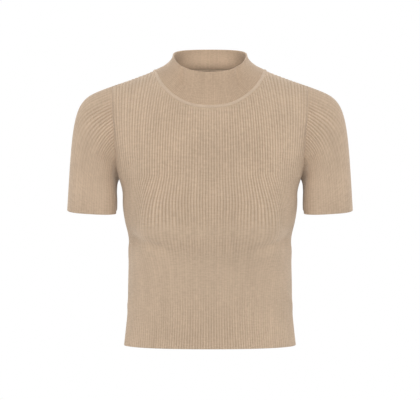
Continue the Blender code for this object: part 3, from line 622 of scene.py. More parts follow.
def closed(line_of):
    """A seam's lines on the front and the back as one closed ring, from their shared ends, front first."""
    rings = []
    for f, b in zip(line_of(FRONT), line_of(BACK)):
        first, last = (f[0] + b[0]) / 2, (f[-1] + b[-1]) / 2
        rings.append(np.concatenate([[first], f[1:-1], [last], b[-2:0:-1]]))
    place, normal, tangent, into = rings
    return Line(place, unit(normal), tangent, unit(into))


# ---- the sleeve's surface


def flow(turn, name):
    """A value of SLEEVE_FLOW at a turn. The back of the sleeve flows as its front does."""
    folded = np.minimum(turn % 1, 1 - turn % 1)
    return smooth(folded, column(SLEEVE_FLOW, "turn"), column(SLEEVE_FLOW, name))


def leaving(turn):
    """The direction in which the sleeve leaves the armhole."""
    slope = np.radians(flow(turn, "slope"))
    forward = SLEEVE_FORWARD * signed_power(np.sin(turn * 2 * math.pi), SLEEVE_FLATNESS)
    return points(np.cos(slope), -forward, -np.sin(slope))


def armhole_ring(count=ARMHOLE_FINE):
    """The whole armhole as a closed ring, front first, sampled finely for the sleeve to start from."""
    front = torso(*armhole(FRONT, count), FRONT)
    back = torso(*armhole(BACK, count), BACK)
    return np.concatenate([front, back[::-1][1:]])


ARMHOLE_RING = armhole_ring()


def cuff_outline():
    """Shares of the way round the cuff, from its outermost point by way of the front, with x and y there."""
    angle = np.linspace(0, 2 * math.pi, CUFF_POINTS)
    power = 2 / CUFF_SQUARE
    x = CUFF_HALF_WIDTH * signed_power(np.cos(angle), power)
    y = -CUFF_HALF_DEPTH * signed_power(np.sin(angle), power)
    run = running(np.hypot(np.diff(x), np.diff(y)))
    return run / run[-1], x, y


CUFF_OUTLINE = cuff_outline()


def cuff(turn):
    """The cuff's edge. Turn 0 is its outermost point and 0.25 its front."""
    share, *outline = CUFF_OUTLINE
    x, y = (np.interp(turn % 1, share, v) for v in outline)
    z = CUFF_SLOPE[0] * x + CUFF_SLOPE[1] * y
    return (points(x, y, z) + np.array(CUFF_CENTRE)) * CM


def sleeve(turn, along):
    """Points of the wearer's left sleeve, on a curve from armhole to cuff for each turn."""
    turn, along = np.broadcast_arrays(np.asarray(turn, float), np.asarray(along, float))
    share = np.linspace(0, 1, len(ARMHOLE_RING))
    start = vectors_at(turn % 1, share, ARMHOLE_RING)
    end = cuff(turn)
    reach = np.linalg.norm(end - start, axis=-1, keepdims=True)
    near, far = flow(turn, "near")[:, None], flow(turn, "far")[:, None]
    up_arm = unit(np.array([-ARM_LEAN, 0.0, 1.0]))
    s = along[:, None]
    steady = s + (1 / (3 * near) - 1) * s * (1 - s) ** 2 + (1 - 1 / (3 * far)) * s**2 * (1 - s)
    return bezier(start, start + unit(leaving(turn)) * reach * near, end + up_arm * reach * far, end, steady)


def bezier(a, b, c, d, t):
    return (1 - t) ** 3 * a + 3 * t * (1 - t) ** 2 * b + 3 * t**2 * (1 - t) * c + t**3 * d


def sleeve_normals(turn, along):
    inside = np.clip(along, ALONG_MARGIN, 1 - ALONG_MARGIN)
    near, far = np.array(ARM_AXIS) * CM
    axis = bezier(ARMHOLE_RING.mean(axis=0), near, far, np.array(CUFF_CENTRE) * CM, inside[:, None])
    outward = sleeve(turn, inside) - axis
    return normals(sleeve, turn, inside, TURN_PROBE, ALONG_PROBE, outward)


# ---- the collar's surface


NECK_RING = closed(neck_line)


def rim(turn):
    """The collar's upper edge, a superellipse that is deeper in front of its widest place than behind."""
    angle = turn * 2 * math.pi
    in_front = np.sin(angle) > 0
    power = 2 / np.where(in_front, RIM_SQUARE[FRONT], RIM_SQUARE[BACK])
    x = RIM_HALF_WIDTH * signed_power(np.cos(angle), power)
    depth = np.where(in_front, RIM_FRONT, RIM_BACK) - RIM_CENTRE
    y = RIM_CENTRE + depth * np.abs(np.sin(angle)) ** power
    a, b, c = RIM_TILT
    return points(x, y, a + b * y + c * y**2) * CM


def collar(turn, up):
    """Points of the collar, on a curve from neckline to rim for each turn."""
    turn, up = np.broadcast_arrays(np.asarray(turn, float), np.asarray(up, float))
    share = np.linspace(0, 1, len(NECK_RING.place) + 1)
    lines = (np.concatenate([v, v[:1]]) for v in (NECK_RING.place, NECK_RING.into))
    start, into = (vectors_at(turn % 1, share, line) for line in lines)
    end = rim(turn)
    outwards = unit(end * np.array([1, 1, 0]))
    lean = unit(np.array([0, 0, 1.0]) - outwards * RIM_LEAN)
    reach = np.linalg.norm(end - start, axis=-1, keepdims=True)
    handle = reach * COLLAR_HANDLE
    place = bezier(start, start - unit(into) * handle, end - lean * handle, end, up[:, None])
    from_dent = np.abs(turn % 1 - FRONT_TURN) - COLLAR_DENT_TURN
    dent = bell(from_dent, COLLAR_DENT_SPREAD) * np.sin(math.pi * up) ** 2
    return place - outwards * (COLLAR_DENT * dent)[:, None]


def collar_normals(turn, up):
    inside = np.clip(up, ALONG_MARGIN, 1 - ALONG_MARGIN)
    outward = collar(turn, inside) * np.array([1, 1, 0])
    return normals(collar, turn, inside, TURN_PROBE, ALONG_PROBE, outward)


# ---- folds


def crease(x, z, start, end, width, depth):
    """A soft valley along a straight line in the view from the front, which dies away at its ends."""
    (x0, z0), (x1, z1) = start, end
    length = math.hypot(x1 - x0, z1 - z0)
    ux, uz = (x1 - x0) / length, (z1 - z0) / length
    along = ((x - x0) * ux + (z - z0) * uz) / length
    across = (z - z0) * ux - (x - x0) * uz
    ends = soft_step(along, *CREASE_RISE) * (1 - soft_step(along, *CREASE_FALL))
    return -depth * ends * bell(across, width)


def body_folds(place, side):
    """How far the cloth of a panel stands off its plain surface."""
    x, z = place[:, 0], place[:, 2]
    out = np.zeros(len(x))
    for (x0, z0), (x1, z1), width, depth in BODY_CREASES[side]:
        out += crease(x, z, (x0 * CM, z0 * CM), (x1 * CM, z1 * CM), width * MM, depth * MM)
    low = 1 - soft_step(z - HEM_HEIGHT, *HEM_RIPPLE_FADE)
    share, phase = HEM_SECOND
    wave = np.sin(x * HEM_WAVES[0] + side) + share * np.sin(x * HEM_WAVES[1] + phase)
    return out + HEM_RIPPLE * low * wave


def tube_folds(turn, along, creases, girth, length):
    """How far the cloth of a sleeve or of the collar stands off its plain surface."""
    out = np.zeros(len(turn))
    for (t0, a0), (t1, a1), width, depth in creases:
        ends = ((t0 * girth, a0 * length), (t1 * girth, a1 * length))
        out += crease(turn * girth, along * length, *ends, width * MM, depth * MM)
    return out


# ---- walls of cloth


def strip(first, second):
    """Triangles between two closed rings of vertex numbers, whatever their counts."""
    i = j = 0
    faces = []
    while i < len(first) or j < len(second):
        a, b = first[i % len(first)], second[j % len(second)]
        if j == len(second) or (i < len(first) and (2 * i + 1) * len(second) <= (2 * j + 1) * len(first)):
            i += 1
            faces.append((a, first[i % len(first)], b))
        else:
            j += 1
            faces.append((a, second[j % len(second)], b))
    return faces


def tube(name, rings, stuff):
    """A closed wall from rings of points and stitches, which run up the outside and back down the inside."""
    numbers, start = [], 0
    for place, _ in rings:
        numbers.append(range(start, start + len(place)))
        start += len(place)
    faces = [f for a, b in zip(numbers, numbers[1:] + numbers[:1]) for f in strip(a, b)]
    places, stitches = (np.concatenate(group) for group in zip(*rings))
    return solid(name, places, faces, stitches, stuff)


def solid(name, place, faces, stitches, stuff):
    """One piece from vertices and faces, turned outwards, with the place of each point in the knitting."""
    faces = np.asarray(faces)
    corners = [place[faces[:, k]] for k in range(3)]
    if np.sum(corners[0] * np.cross(corners[1], corners[2])) < 0:
        faces = faces[:, ::-1]
    mesh = bpy.data.meshes.new(name)
    mesh.from_pydata(place.tolist(), [], faces.tolist())
    mesh.shade_smooth()
    knit = mesh.attributes.new("knit", "FLOAT_VECTOR", "POINT")
    knit.data.foreach_set("vector", np.asarray(stitches, np.float32).ravel())
    mesh.materials.append(stuff)
    return placed(name, mesh)


def added(name, data):
    thing = bpy.data.objects.new(name, data)
    bpy.context.scene.collection.objects.link(thing)
    return thing


def placed(name, mesh):
    piece = added(name, mesh)
    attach(piece, "root")
    return piece


# ---- the front and the back


def profile(rib):
    """The rounded height of a rib, 1 on each whole number and 0 half way between."""
    return (0.5 + 0.5 * waves(rib)) ** RIB_ROUND


def ribbing(rib, strength):
    """The height of the cloth's face as a share of a full rib's, and how far below the mean it lies."""
    wave = profile(rib)
    return MEAN_RIB + (wave - MEAN_RIB) * strength, (MEAN_RIB - wave) * strength


def rib_strength(place, side):
    """How clearly the ribs of a panel stand out. They flatten where the cloth is stretched."""
    middle = at_height(STRENGTH, "middle", place[:, 2])
    outer = at_height(STRENGTH, "outer", place[:, 2])
    strength = middle + (outer - middle) * soft_step(np.abs(place[:, 0]), *STRENGTH_TURNS)
    return strength if side == FRONT else strength * BACK_EVENING + (1 - BACK_EVENING)


def facing(vectors, outward):
    vectors = unit(vectors)
    return vectors * np.sign(np.sum(vectors * outward, axis=-1, keepdims=True))


def run_up(level):
    """Length of cloth from the hem up to a level."""
    return np.interp(level, (0, 1, 2), RUN_UP)


def closing(rib, level, side):
    """How far back a panel's cloth moves near the side seams, so that the two panels meet there."""
    low = np.minimum(level, 1.0)
    edge = np.sign(rib) * SIDE_RIB
    apart = torso(edge, low, BACK)[:, 1] - torso(edge, low, FRONT)[:, 1] - SEAM_GAP
    near = 1 - soft_step(HALF_RIBS - np.abs(rib), 0, CLOSING_RIBS)
    return near * apart * (0.5 if side == FRONT else -0.5)


def on_panel(rib, level, side, fade):
    """The cloth's inner and outer points at ribs and levels of a panel, and its stitches."""
    rib = np.clip(rib, -SIDE_RIB, SIDE_RIB)
    level = np.minimum(level, TOP_LEVEL)
    place = torso(rib, level, side)
    normal = torso_normals(rib, level, side)
    place[:, 1] += closing(rib, level, side)
    height, furrow = ribbing(rib, rib_strength(place, side) * fade)
    folds = body_folds(place, side) * fade * soft_step(HALF_RIBS - np.abs(rib), 0, FOLD_FADE)
    place = place + normal * folds[:, None]
    inner = place + normal * (INNER_RELIEF * height)[:, None]
    outer = place + normal * (WALL + RIB_RELIEF * height)[:, None]
    return np.stack([inner, outer]), np.stack([rib, run_up(level), furrow], -1)


def sleeve_normal_at_seam(line, turn):
    return facing(np.cross(line.tangent, leaving(turn)), line.place - ARMHOLE_RING.mean(axis=0))


def outline_of(side, levels):
    """A panel's outline, counted round from its hem: ribs, levels, its edges in space, its stitches, and
    which of its points the inner wall shares."""
    hem = np.arange(FINE * PANEL_RIBS + 1) / FINE - HALF_RIBS
    seam = np.array([v for v in levels if 0 < v < 1])
    shoulder = np.arange(FINE * NECK_RIB + 1, FINE * ARMHOLE_RIB)[::-1] / FINE
    arm_rib, arm_level = armhole(side)
    neck_rib, neck_top = neckline(side)

    arm, neck = armhole_line(side), neck_line(side)
    turn = np.linspace(0, 0.5 if side == FRONT else -0.5, len(arm_rib))
    arm_edge = joined(arm, sleeve_normal_at_seam(arm, turn), arm.into, SEAM_WALL)
    neck_edge = joined(neck, neck.normal, neck.into, SEAM_WALL)

    def plain(rib, level, fade):
        rib, level, fade = np.broadcast_arrays(rib, level, fade)
        edge, stitch = on_panel(rib, level, side, fade)
        return rib, level, stitch[:, 2], edge

    runs = (
        plain(hem, 0.0, soft_step(HALF_RIBS - np.abs(hem), 0, SEAM_FADE)),
        plain(HALF_RIBS, seam, 0.0),
        (arm_rib[::-1], arm_level[::-1], 0 * arm_rib, arm_edge[:, ::-1]),
        plain(shoulder, 2.0, 0.0),
        (neck_rib, neck_top, 0 * neck_rib, neck_edge),
        plain(-shoulder[::-1], 2.0, 0.0),
        (-arm_rib, arm_level, 0 * arm_rib, arm_edge * np.array([-1, 1, 1])),
        plain(-HALF_RIBS, seam[::-1], 0.0),
    )
    *along, edges = zip(*runs)
    rib, level, furrow = (np.concatenate(part) for part in along)
    shared = (level > 0) | (np.round(rib * FINE).astype(int) % (FINE // INNER_FINE) == 0)
    return rib, level, np.concatenate(edges, axis=1), np.stack([rib, run_up(level), furrow], -1), shared


def drawn(rib, level):
    """A panel laid flat, in rib widths, for cutting it into triangles."""
    return np.stack([rib, np.interp(level, (0, 1, 2), FLAT_HEIGHTS)], axis=-1)


def reach_to(a, b, spots):
    """How far each spot lies from the flat line from a to b."""
    t = np.clip((spots - a) @ (b - a) / max(np.sum((b - a) ** 2), TINY**2), 0, 1)
    return np.linalg.norm(spots - a - t[:, None] * (b - a), axis=1)


def clear_of(outline, spots, gap):
    """Which spots lie inside a flat outline and at least the gap away from it."""
    inside = np.zeros(len(spots), bool)
    near = np.full(len(spots), np.inf)
    for p, q in zip(outline, np.roll(outline, -1, axis=0)):
        crosses = (p[1] > spots[:, 1]) != (q[1] > spots[:, 1])
        rise = q[1] - p[1] if q[1] != p[1] else 1.0
        inside ^= crosses & (spots[:, 0] < p[0] + (spots[:, 1] - p[1]) * (q[0] - p[0]) / rise)
        close = np.abs(spots[:, 1] - p[1]) < NEARBY
        near[close] = np.minimum(near[close], reach_to(p, q, spots[close]))
    return inside & (near > gap)


def seam_fade(rib, level, side):
    """0 on the armhole, neckline, shoulder and side seams and 1 further in."""
    spots = drawn(rib, level)
    near = np.minimum(HALF_RIBS - np.abs(rib), FLAT_HEIGHTS[2] - spots[:, 1])
    upper = level > CURVED_LEVEL
    arm = drawn(*armhole(side))
    for line in (arm, arm * np.array([-1, 1]), drawn(*neckline(side))):
        for p, q in zip(line[:-1:2], line[2::2]):
            near[upper] = np.minimum(near[upper], reach_to(p, q, spots[upper]))
    return soft_step(near, SEAM_FLAT, SEAM_FLAT + SEAM_FADE)


def filled(rib, level, columns, rows):
    """A grid's ribs and levels inside an outline, and triangles between all of these points."""
    outline = drawn(rib, level)
    grid_rib, grid_level = (g.ravel() for g in np.meshgrid(columns, rows))
    keep = clear_of(outline, drawn(grid_rib, grid_level), EDGE_CLEARANCE)
    rib, level = grid_rib[keep], grid_level[keep]
    flat = np.concatenate([outline, drawn(rib, level)])
    made = delaunay_2d_cdt([Vector(p) for p in flat.tolist()], [], [range(len(outline))], 1, TINY)
    assert len(made[0]) == len(flat)
    source = np.array([first[0] for first in made[3]])
    return rib, level, source[np.array(made[2])]


def rimmed(shared, inner_start):
    """Triangles across the wall's cut edge, round an outline of which the inner wall shares some points."""
    kept = np.flatnonzero(shared)
    faces = []
    for n, i in enumerate(kept):
        last = n + 1 == len(kept)
        j = len(shared) if last else kept[n + 1]
        near, far = inner_start + n, inner_start + (0 if last else n + 1)
        ring = [k % len(shared) for k in range(i, j + 1)]
        middle = (len(ring) - 1) // 2
        for k in range(len(ring) - 1):
            faces.append((ring[k + 1], ring[k], near if k < middle else far))
        faces.append((ring[middle], near, far))
    return faces


def layer(rib, level, rows, fine, side):
    """The inside of an outline, for one face of the cloth: its points' edges and stitches, and triangles."""
    columns = np.arange(1, fine * PANEL_RIBS) / fine - HALF_RIBS
    rib, level, faces = filled(rib, level, columns, rows)
    edge, stitches = on_panel(rib, level, side, seam_fade(rib, level, side))
    return edge, stitches, faces


def panel(name, side, stuff):
    """The front or the back: a flat cut with its outline in ribs and levels, bent round the torso."""
    even_rows = np.arange(FIRST_ROW, FLAT_HEIGHTS[2] - LAST_ROW_CLEARANCE, ROW_STEP)
    rows = np.interp(np.concatenate([HEM_ROWS, even_rows]), FLAT_HEIGHTS, (0, 1, 2))
    rib, level, edge, stitch, shared = outline_of(side, rows)
    outside, out_stitch, out_faces = layer(rib, level, rows, FINE, side)
    inside, in_stitch, in_faces = layer(rib[shared], level[shared], rows[1::2], INNER_FINE, side)
    outer = np.concatenate([edge[1], outside[1]])
    inner = np.concatenate([edge[0, shared], inside[0]])
    faces = np.concatenate([out_faces, in_faces[:, ::-1] + len(outer), rimmed(shared, len(outer))])
    stitches = np.concatenate([stitch, out_stitch, stitch[shared], in_stitch])
    return solid(name, np.concatenate([outer, inner]), faces, stitches, stuff)


# ---- the sleeves


def sleeve_strength(turn, along):
    """How clearly the sleeve's ribs stand out: most on the front and back of its head."""
    folded = np.minimum(turn, 1 - turn)
    head = soft_step(folded, *HEAD_RISE) * (1 - soft_step(folded, *HEAD_FALL))
    plain, full = SLEEVE_STRENGTH
    return plain + (full - plain) * head * (1 - soft_step(along, *HEAD_LENGTH))


def sleeve_ring(count, along, side):
    """A ring of points round the sleeve, on the outer (1) or the inner (0) side of the cloth."""
    turn = np.arange(count) / count
    along = np.full(count, float(along))
    fade = soft_step(along * SLEEVE_LONG / RIB_WIDTH, SEAM_FLAT, SEAM_FLAT + SEAM_FADE)
    height, furrow = ribbing(turn * SLEEVE_RIBS, sleeve_strength(turn, along) * fade)
    lift = WALL + RIB_RELIEF * height if side else INNER_RELIEF * height
    lift = lift + tube_folds(turn, along, SLEEVE_CREASES, SLEEVE_ROUND, SLEEVE_LONG) * fade
    place = sleeve(turn, along) + sleeve_normals(turn, along) * lift[:, None]
    return place, np.stack([turn * SLEEVE_RIBS, along * SLEEVE_LONG, furrow], -1)


def left_sleeve(name, stuff):
    """The wearer's left sleeve, from the armhole down the outside and back up the inside."""
    line = closed(armhole_line)
    turn = np.arange(len(line.place)) / len(line.place)
    line = line._replace(tangent=unit(np.roll(line.place, -1, axis=0) - np.roll(line.place, 1, axis=0)))
    own = line._replace(normal=sleeve_normal_at_seam(line, turn))
    inner, outer = joined(own, line.normal, unit(leaving(turn)), SEAM_WALL)
    at_seam = np.stack([turn * SLEEVE_RIBS, 0 * turn, 0 * turn], -1)
    outside = [sleeve_ring(FINE * SLEEVE_RIBS, along, 1) for along in SLEEVE_ROWS]
    inside = [sleeve_ring(INNER_FINE * SLEEVE_RIBS, along, 0) for along in SLEEVE_ROWS[::-2]]
    return tube(name, [(outer, at_seam), *outside, *inside, (inner, at_seam)], stuff)


def mirror_image(name, piece):
    """A second piece that is the first seen in a mirror across the garment's middle."""
    mesh = piece.data.copy()
    mesh.name = name
    mesh.transform(Matrix.Diagonal((-1, 1, 1, 1)))
    mesh.flip_normals()
    return placed(name, mesh)


# ---- the collar


def collar_ring(count, up, lift, ribbed):
    """A ring of points round the collar. Lengths on its inner layer are counted as negative."""
    turn = np.arange(count) / count
    up = np.full(count, float(up))
    fade = soft_step(up, 0.0, COLLAR_FADE) * ribbed
    height = profile(turn * COLLAR_RIBS) * fade
    offset = lift + np.sign(lift - COLLAR_WALL / 2) * COLLAR_RELIEF * (height - 1)
    offset = offset + tube_folds(turn, up, COLLAR_CREASES, COLLAR_ROUND, COLLAR_LONG)
    place = collar(turn, up) + collar_normals(turn, up) * offset[:, None]
    run = up * COLLAR_LONG * np.sign(lift - COLLAR_WALL / 2 + TINY)
    return place, np.stack([turn * COLLAR_RIBS, run, (MEAN_RIB - profile(turn * COLLAR_RIBS)) * fade], -1)


def collar_piece(name, stuff):
    """The mock neck, from the neckline up the outside, over the folded rim and down the inside."""
    inner, outer = joined(NECK_RING, NECK_RING.normal, -NECK_RING.into, COLLAR_WALL)
    turn = np.arange(len(NECK_RING.place)) / len(NECK_RING.place)
    at_seam = np.stack([turn * COLLAR_RIBS, 0 * turn, 0 * turn], -1)
    count = COLLAR_FINE * COLLAR_RIBS
    rings = [collar_ring(count, up, COLLAR_WALL, 1.0) for up in COLLAR_ROWS]
    for angle in np.linspace(0, math.pi, RIM_RINGS)[1:-1]:
        place, stitch = collar_ring(count, 1.0, COLLAR_WALL * (0.5 + 0.5 * math.cos(angle)), RIM_RIBS)
        rings.append((place + np.array([0, 0, COLLAR_FOLD * math.sin(angle)]), stitch))
    rings += [collar_ring(count, up, 0.0, 1.0) for up in COLLAR_ROWS[::-1]]
    return tube(name, [(outer, at_seam), *rings, (inner, at_seam)], stuff)


# ---- linked and overlocked seams


def resampled(vectors, count, ring):
    """Vectors along a line at another, even spacing. A ring comes back to its start."""
    whole = np.concatenate([vectors, vectors[:1]]) if ring else vectors
    at = np.linspace(0, len(whole) - 1, count + 1 if ring else count)[:count]
    return vectors_at(at, np.arange(len(whole)), whole)


def sweep(name, line, sideways, height, stitches, ring, stuff):
    """A solid cord along places, with normals and ways across. One that isn't a ring has flat ends."""
    place, normal, across = (part[:, None] for part in line)
    sections = place + across * sideways[..., None] + normal * height[..., None]
    count, size = sections.shape[:2]
    number = np.arange(count * size).reshape(count, size)
    ahead = np.roll(number, -1, axis=0)
    quads = np.stack([number, np.roll(number, -1, axis=1), np.roll(ahead, -1, axis=1), ahead], -1)
    quads = (quads if ring else quads[:-1]).reshape(-1, 4)
    faces = [quads[:, (0, 1, 2)], quads[:, (0, 2, 3)]]
    if not ring:
        fan = np.array([(0, k + 1, k) for k in range(1, size - 1)])
        faces += [fan, number[-1][fan][:, ::-1]]
    stitches = np.stack(np.broadcast_arrays(*stitches), -1).reshape(-1, 3)
    return solid(name, sections.reshape(-1, 3), np.concatenate(faces), stitches, stuff)


def neck_link(name, stuff):
    """The linked ridge over the join of collar and body, a row of slanting stitches."""
    count = LINK_STITCHES * LINK_FINE
    ring = NECK_RING.place, NECK_RING.normal, NECK_RING.into
    place, normal, into = (resampled(part, count, True) for part in ring)
    number = (np.arange(count) / LINK_FINE)[:, None]
    angle = np.linspace(0, math.pi, LINK_POINTS)[None, :]
    across = np.cos(angle)
    swell = 1 - LINK_DIP * (0.5 + 0.5 * waves(number + LINK_SLANT * across))
    width = LINK_HALF_WIDTH * across * (1 - LINK_NARROWING * (1 - swell))
    height = LINK_HEIGHT * np.sin(angle) ** LINK_FULLNESS * swell
    line = place + normal * (COLLAR_WALL + LINK_LIFT), normal, into
    return sweep(name, line, width, height, (number, across, swell), True, stuff)


def overlock(name, place, normal, into, ring, stuff):
    """A seam's two allowances inside the garment, turned to one side and wrapped in overlock thread."""
    run = np.linalg.norm(np.diff(place, axis=0), axis=1).sum()
    count = int(run / THREAD_PITCH) * THREAD_FINE
    line = [resampled(v, count, ring) for v in (place, unit(normal), unit(into))]
    number = (np.arange(count) / THREAD_FINE)[:, None]
    angle = np.linspace(0, 2 * math.pi, THREAD_POINTS + 1)[None, :-1]
    across = np.cos(angle)
    swell = 1 + THREAD_SWELL * waves(number + THREAD_SLANT * across)
    sideways = OVERLOCK_HALF_WIDTH * (across + OVERLOCK_TURN)
    height = OVERLOCK_SUNK - OVERLOCK_DEPTH * (np.sin(angle) * swell + 1.0)
    return sweep(name, line, sideways, height, (number, across, swell), ring, stuff)


def straight_overlock(name, rib, level, into_rib, into_level, stuff):
    """The overlocked allowances along a seam that joins the front and the back, turned on to the back."""
    place = torso(rib, level, BACK)
    normal = torso_normals(rib, level, BACK) + torso_normals(rib, level, FRONT)
    into = torso(rib + into_rib, level + into_level, BACK) - place
    return overlock(name, place, normal, into, False, stuff)


def inside_seams(stuff):
    """The overlocked allowances of the armholes, side seams and shoulder seams."""
    arm = closed(armhole_line)
    side, shoulder = np.linspace(*SIDE_SEAM), np.linspace(*SHOULDER_SEAM)
    outermost, top = np.full(side.shape, SIDE_RIB), np.full(shoulder.shape, 2.0)
    made = [
        overlock("overlock_armhole_left", arm.place, arm.normal, arm.into, True, stuff),
        straight_overlock("overlock_side_left", outermost, side, *SIDE_IN, stuff),
        straight_overlock("overlock_shoulder_left", shoulder, top, *SHOULDER_IN, stuff),
    ]
    return made + [mirror_image(piece.name.replace("left", "right"), piece) for piece in made]


# ---- materials


class Number:
    """A number that a material's nodes work out, for plain arithmetic."""

    def __init__(self, graph, socket):
        self.graph, self.socket = graph, socket

    def __add__(self, other):
        return self.graph.math("ADD", self, other)

    def __mul__(self, other):
        return self.graph.math("MULTIPLY", self, other)

    def __truediv__(self, other):
        return self.graph.math("DIVIDE", self, other)

    __radd__, __rmul__ = __add__, __mul__


class Graph:
    """A material's nodes, with short calls for the few kinds that the knits use."""

    def __init__(self, name):
        self.stuff = bpy.data.materials.new(name)
        self.stuff.use_nodes = True
        self.tree = self.stuff.node_tree
        self.shader = self.tree.nodes["Principled BSDF"]
        self.body = self.node("TexCoord").outputs["Object"]

    def put(self, socket, value):
        value = getattr(value, "socket", value)
        if isinstance(value, bpy.types.NodeSocket):
            self.tree.links.new(value, socket)
        else:
            socket.default_value = value

    def node(self, kind, *values, **settings):
        """A node with its settings and the values of its first inputs."""
        made = self.tree.nodes.new("ShaderNode" + kind)
        for key, value in settings.items():
            setattr(made, key, value)
        for socket, value in zip(made.inputs, values):
            self.put(socket, value)
        return made

    def math(self, operation, *values):
        return Number(self, self.node("Math", *values, operation=operation).outputs[0])

    def wave(self, turns):
        return 0.5 + 0.5 * self.math("SINE", turns * (2 * math.pi))

    def spread(self, *values):
        """A value between low and high, spread softly from one value to another."""
        return Number(self, self.node("MapRange", *values, interpolation_type="SMOOTHSTEP").outputs[0])

    def vector(self, x, y, z):
        return self.node("CombineXYZ", x, y, z).outputs[0]

    def noise(self, where, scale, detail=2.0, roughness=0.5):
        return Number(self, self.node("TexNoise", where, 0.0, scale, detail, roughness).outputs[0])

    def mottle(self, rib, up, kind):
        where = self.vector(rib * kind.across, up * kind.along, kind.place)
        return self.noise(where, 1.0, kind.detail, kind.roughness) * kind.share

    def fill(self, node, values):
        for name, value in values.items():
            self.put(node.inputs[name], value)
        return node

    def mix(self, factor, a, b):
        made = self.node("Mix", data_type="RGBA")
        return self.fill(made, {"Factor": factor, "A": a, "B": b}).outputs["Result"]

    def times(self, a, b):
        return self.node("VectorMath", a, b, operation="MULTIPLY").outputs[0]

    def knit_place(self):
        place = self.node("Attribute", attribute_name="knit").outputs["Vector"]
        return [Number(self, part) for part in self.node("SeparateXYZ", place).outputs]

    def finish(self, colour, height, bump, roughness):
        relief = self.node("Bump")
        self.fill(relief, {"Strength": bump, "Distance": BUMP_DEPTH, "Height": height})
        looks = {"Base Color": colour, "Normal": relief.outputs["Normal"], "Roughness": roughness}
        self.fill(self.shader, SOFTNESS | looks)
        return self.stuff


def shades(colour, factors):
    return [(*(c * factor for c in colour[:3]), 1.0) for factor in factors]


def knit(name, colour, furrow, course, bump, collar=False):
    """A plain-stitched rib knit: V stitches up each rib, furrows between the ribs, and heathered yarn. The
    furrows carry painted shade, the stitches' raised legs a painted highlight, and on the collar the inner
    layer carries painted light.
    """
    g = Graph(name)
    rib, up, depth = g.knit_place()
    across = g.math("PINGPONG", rib, 0.5)
    stitch = g.wave(across * STITCH_SLANT + up / course)
    parting = g.spread(across, 0.0, STITCH_PARTING, 0.0, 1.0)
    fibre = g.noise(g.body, *FIBRE)
    height = stitch * KNIT_RELIEF[0] + parting * KNIT_RELIEF[1] + fibre * KNIT_RELIEF[2]

    tone = g.mottle(g.math("ROUND", rib), up, STREAK) + g.mottle(rib, up, MARL) + g.mottle(rib, up, SLUB)
    tone = g.spread(tone + g.noise(g.body, CLOUD[0]) * CLOUD[1], *TONES, 0.0, 1.0)
    yarn = g.mix(tone, *shades(colour, KNIT_SHADES))
    if collar:
        # painted light: the collar's inner layer is painted lighter, more so towards the neckline
        lift = g.spread(up, *COLLAR_PAINTED_LIGHT_HEIGHTS, COLLAR_INSIDE_PAINTED_LIGHT, COLLAR_INSIDE_PAINTED_LIGHT * COLLAR_DEEP_PAINTED_LIGHT)
        inner = g.spread(up, -LAYER_BLEND, 0.0, 1.0, 0.0)
        yarn = g.mix(inner, yarn, g.times(yarn, g.vector(lift, lift, lift)))
    # painted shade in the furrows and a painted highlight on the raised stitch legs
    painted_relief_shade = stitch * STITCH_PAINTED_HIGHLIGHT + depth * furrow
    tint = g.vector(*(1.0 + painted_relief_shade * fall for fall in FURROW_SHADE_TINT))
    roughness = g.spread(fibre + stitch * STITCH_ROUGHNESS, *KNIT_ROUGHNESS)
    return g.finish(g.times(yarn, tint), height, bump, roughness)


def thread(name, colour):
    """Stitched yarn along a seam: strands twisted round one another, with painted shade in the dips between
    stitches.
    """
    g = Graph(name)
    number, across, swell = g.knit_place()
    strand = g.wave(number * STRANDS + across * STRAND_SLANT)
    fibre = g.noise(g.body, *THREAD_FIBRE)
    tone = g.spread((fibre + g.noise(g.body, THREAD_CLOUD)) * 0.5, *THREAD_TONES)
    light, dark, between = shades(colour, THREAD_SHADES)
    # painted shade in the dips between stitches
    yarn = g.mix(g.spread(swell, *THREAD_PAINTED_GAP_SHADE), g.mix(tone, dark, light), between)
    height = strand * THREAD_RELIEF[0] + fibre * THREAD_RELIEF[1]
    return g.finish(yarn, height, THREAD_BUMP, g.spread(fibre, *THREAD_ROUGHNESS))


def floor_paint():
    g = Graph("pale_floor")
    colour = g.mix(g.noise(g.body, *FLOOR_CLOUD), *FLOOR_COLOURS)
    roughness = g.spread(g.noise(g.body, FLOOR_GRAIN), *FLOOR_ROUGHNESS)
    g.fill(g.shader, {"Base Color": colour, "Roughness": roughness})
    return g.stuff


# ---- the garment


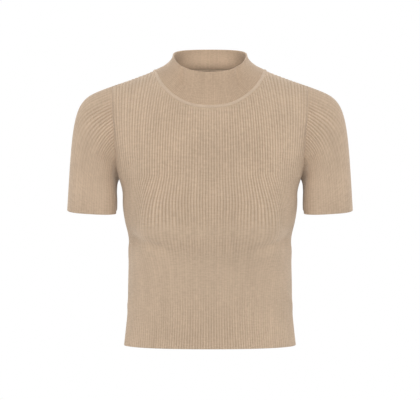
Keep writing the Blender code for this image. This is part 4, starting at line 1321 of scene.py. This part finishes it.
def garment():
    body_stuff = knit("rib_knit", YARN, FURROW_PAINTED_SHADE, COURSE, KNIT_BUMP)
    sleeve_stuff = knit("sleeve_rib_knit", SLEEVE_COLOUR, FURROW_PAINTED_SHADE, COURSE, KNIT_BUMP)
    collar_stuff = knit("close_collar_knit", COLLAR_COLOUR, COLLAR_FURROW_PAINTED_SHADE, COLLAR_COURSE, COLLAR_BUMP, True)
    front, back = panel("knit_front", FRONT, body_stuff), panel("knit_back", BACK, body_stuff)
    sleeve_left = left_sleeve("knit_sleeve_left", sleeve_stuff)
    sleeve_right = mirror_image("knit_sleeve_right", sleeve_left)
    neck = collar_piece("knit_collar", collar_stuff)
    link = neck_link("neck_link", thread("linking_yarn", LINK_COLOUR))
    seams = inside_seams(thread("overlock_thread", THREAD_COLOUR))

    replaced = (
        (front, "front", "body_knit"),
        (back, "back", "body_knit"),
        (sleeve_left, "sleeve_left", "sleeve_knit"),
        (sleeve_right, "sleeve_right", "sleeve_knit"),
        (neck, "collar", "collar_knit"),
        (link, "neck_seam", "link_knit"),
    )
    for piece, node, slot in replaced:
        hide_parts(node)


# ---- the studio


def lamp(name, place, size, watts):
    light = bpy.data.lights.new(name, "AREA")
    light.shape = "RECTANGLE"
    light.size, light.size_y = size
    light.energy = watts
    thing = added(name, light)
    thing.location = place
    thing.rotation_euler = (Vector(GARMENT_MIDDLE) - thing.location).to_track_quat("-Z", "Y").to_euler()


def white_room():
    """A plain white surrounding, which gives less light than the camera sees."""
    world = bpy.data.worlds.new("white_room")
    world.use_nodes = True
    nodes, links = world.node_tree.nodes, world.node_tree.links
    back = nodes["Background"]
    back.inputs["Color"].default_value = (1.0, 1.0, 1.0, 1.0)
    strength = nodes.new("ShaderNodeMapRange")
    strength.inputs["To Min"].default_value = ROOM_LIGHT
    strength.inputs["To Max"].default_value = BACKDROP
    links.new(nodes.new("ShaderNodeLightPath").outputs["Is Camera Ray"], strength.inputs["Value"])
    links.new(strength.outputs["Result"], back.inputs["Strength"])
    return world


def studio():
    scene = bpy.context.scene
    scene.view_settings.view_transform = "Standard"
    scene.world = white_room()

    mesh = bpy.data.meshes.new("floor")
    corners = ((-1, -1), (1, -1), (1, 1), (-1, 1))
    mesh.from_pydata([(FLOOR_EDGE * x, FLOOR_EDGE * y, FLOOR_HEIGHT) for x, y in corners], [], [range(4)])
    mesh.materials.append(floor_paint())
    added("floor", mesh)

    for name, (x, y, z), size, watts in LAMPS:
        for place in sorted({x, -x}, reverse=True):
            lamp(name, (place, y, z), size, watts)

    camera = bpy.data.cameras.new("camera")
    camera.lens = CAMERA_LENS
    camera.sensor_width = CAMERA_SENSOR
    scene.camera = added("camera", camera)
    scene.camera.location = CAMERA_PLACE
    scene.camera.rotation_euler = (math.pi / 2, 0, 0)


garment()
studio()
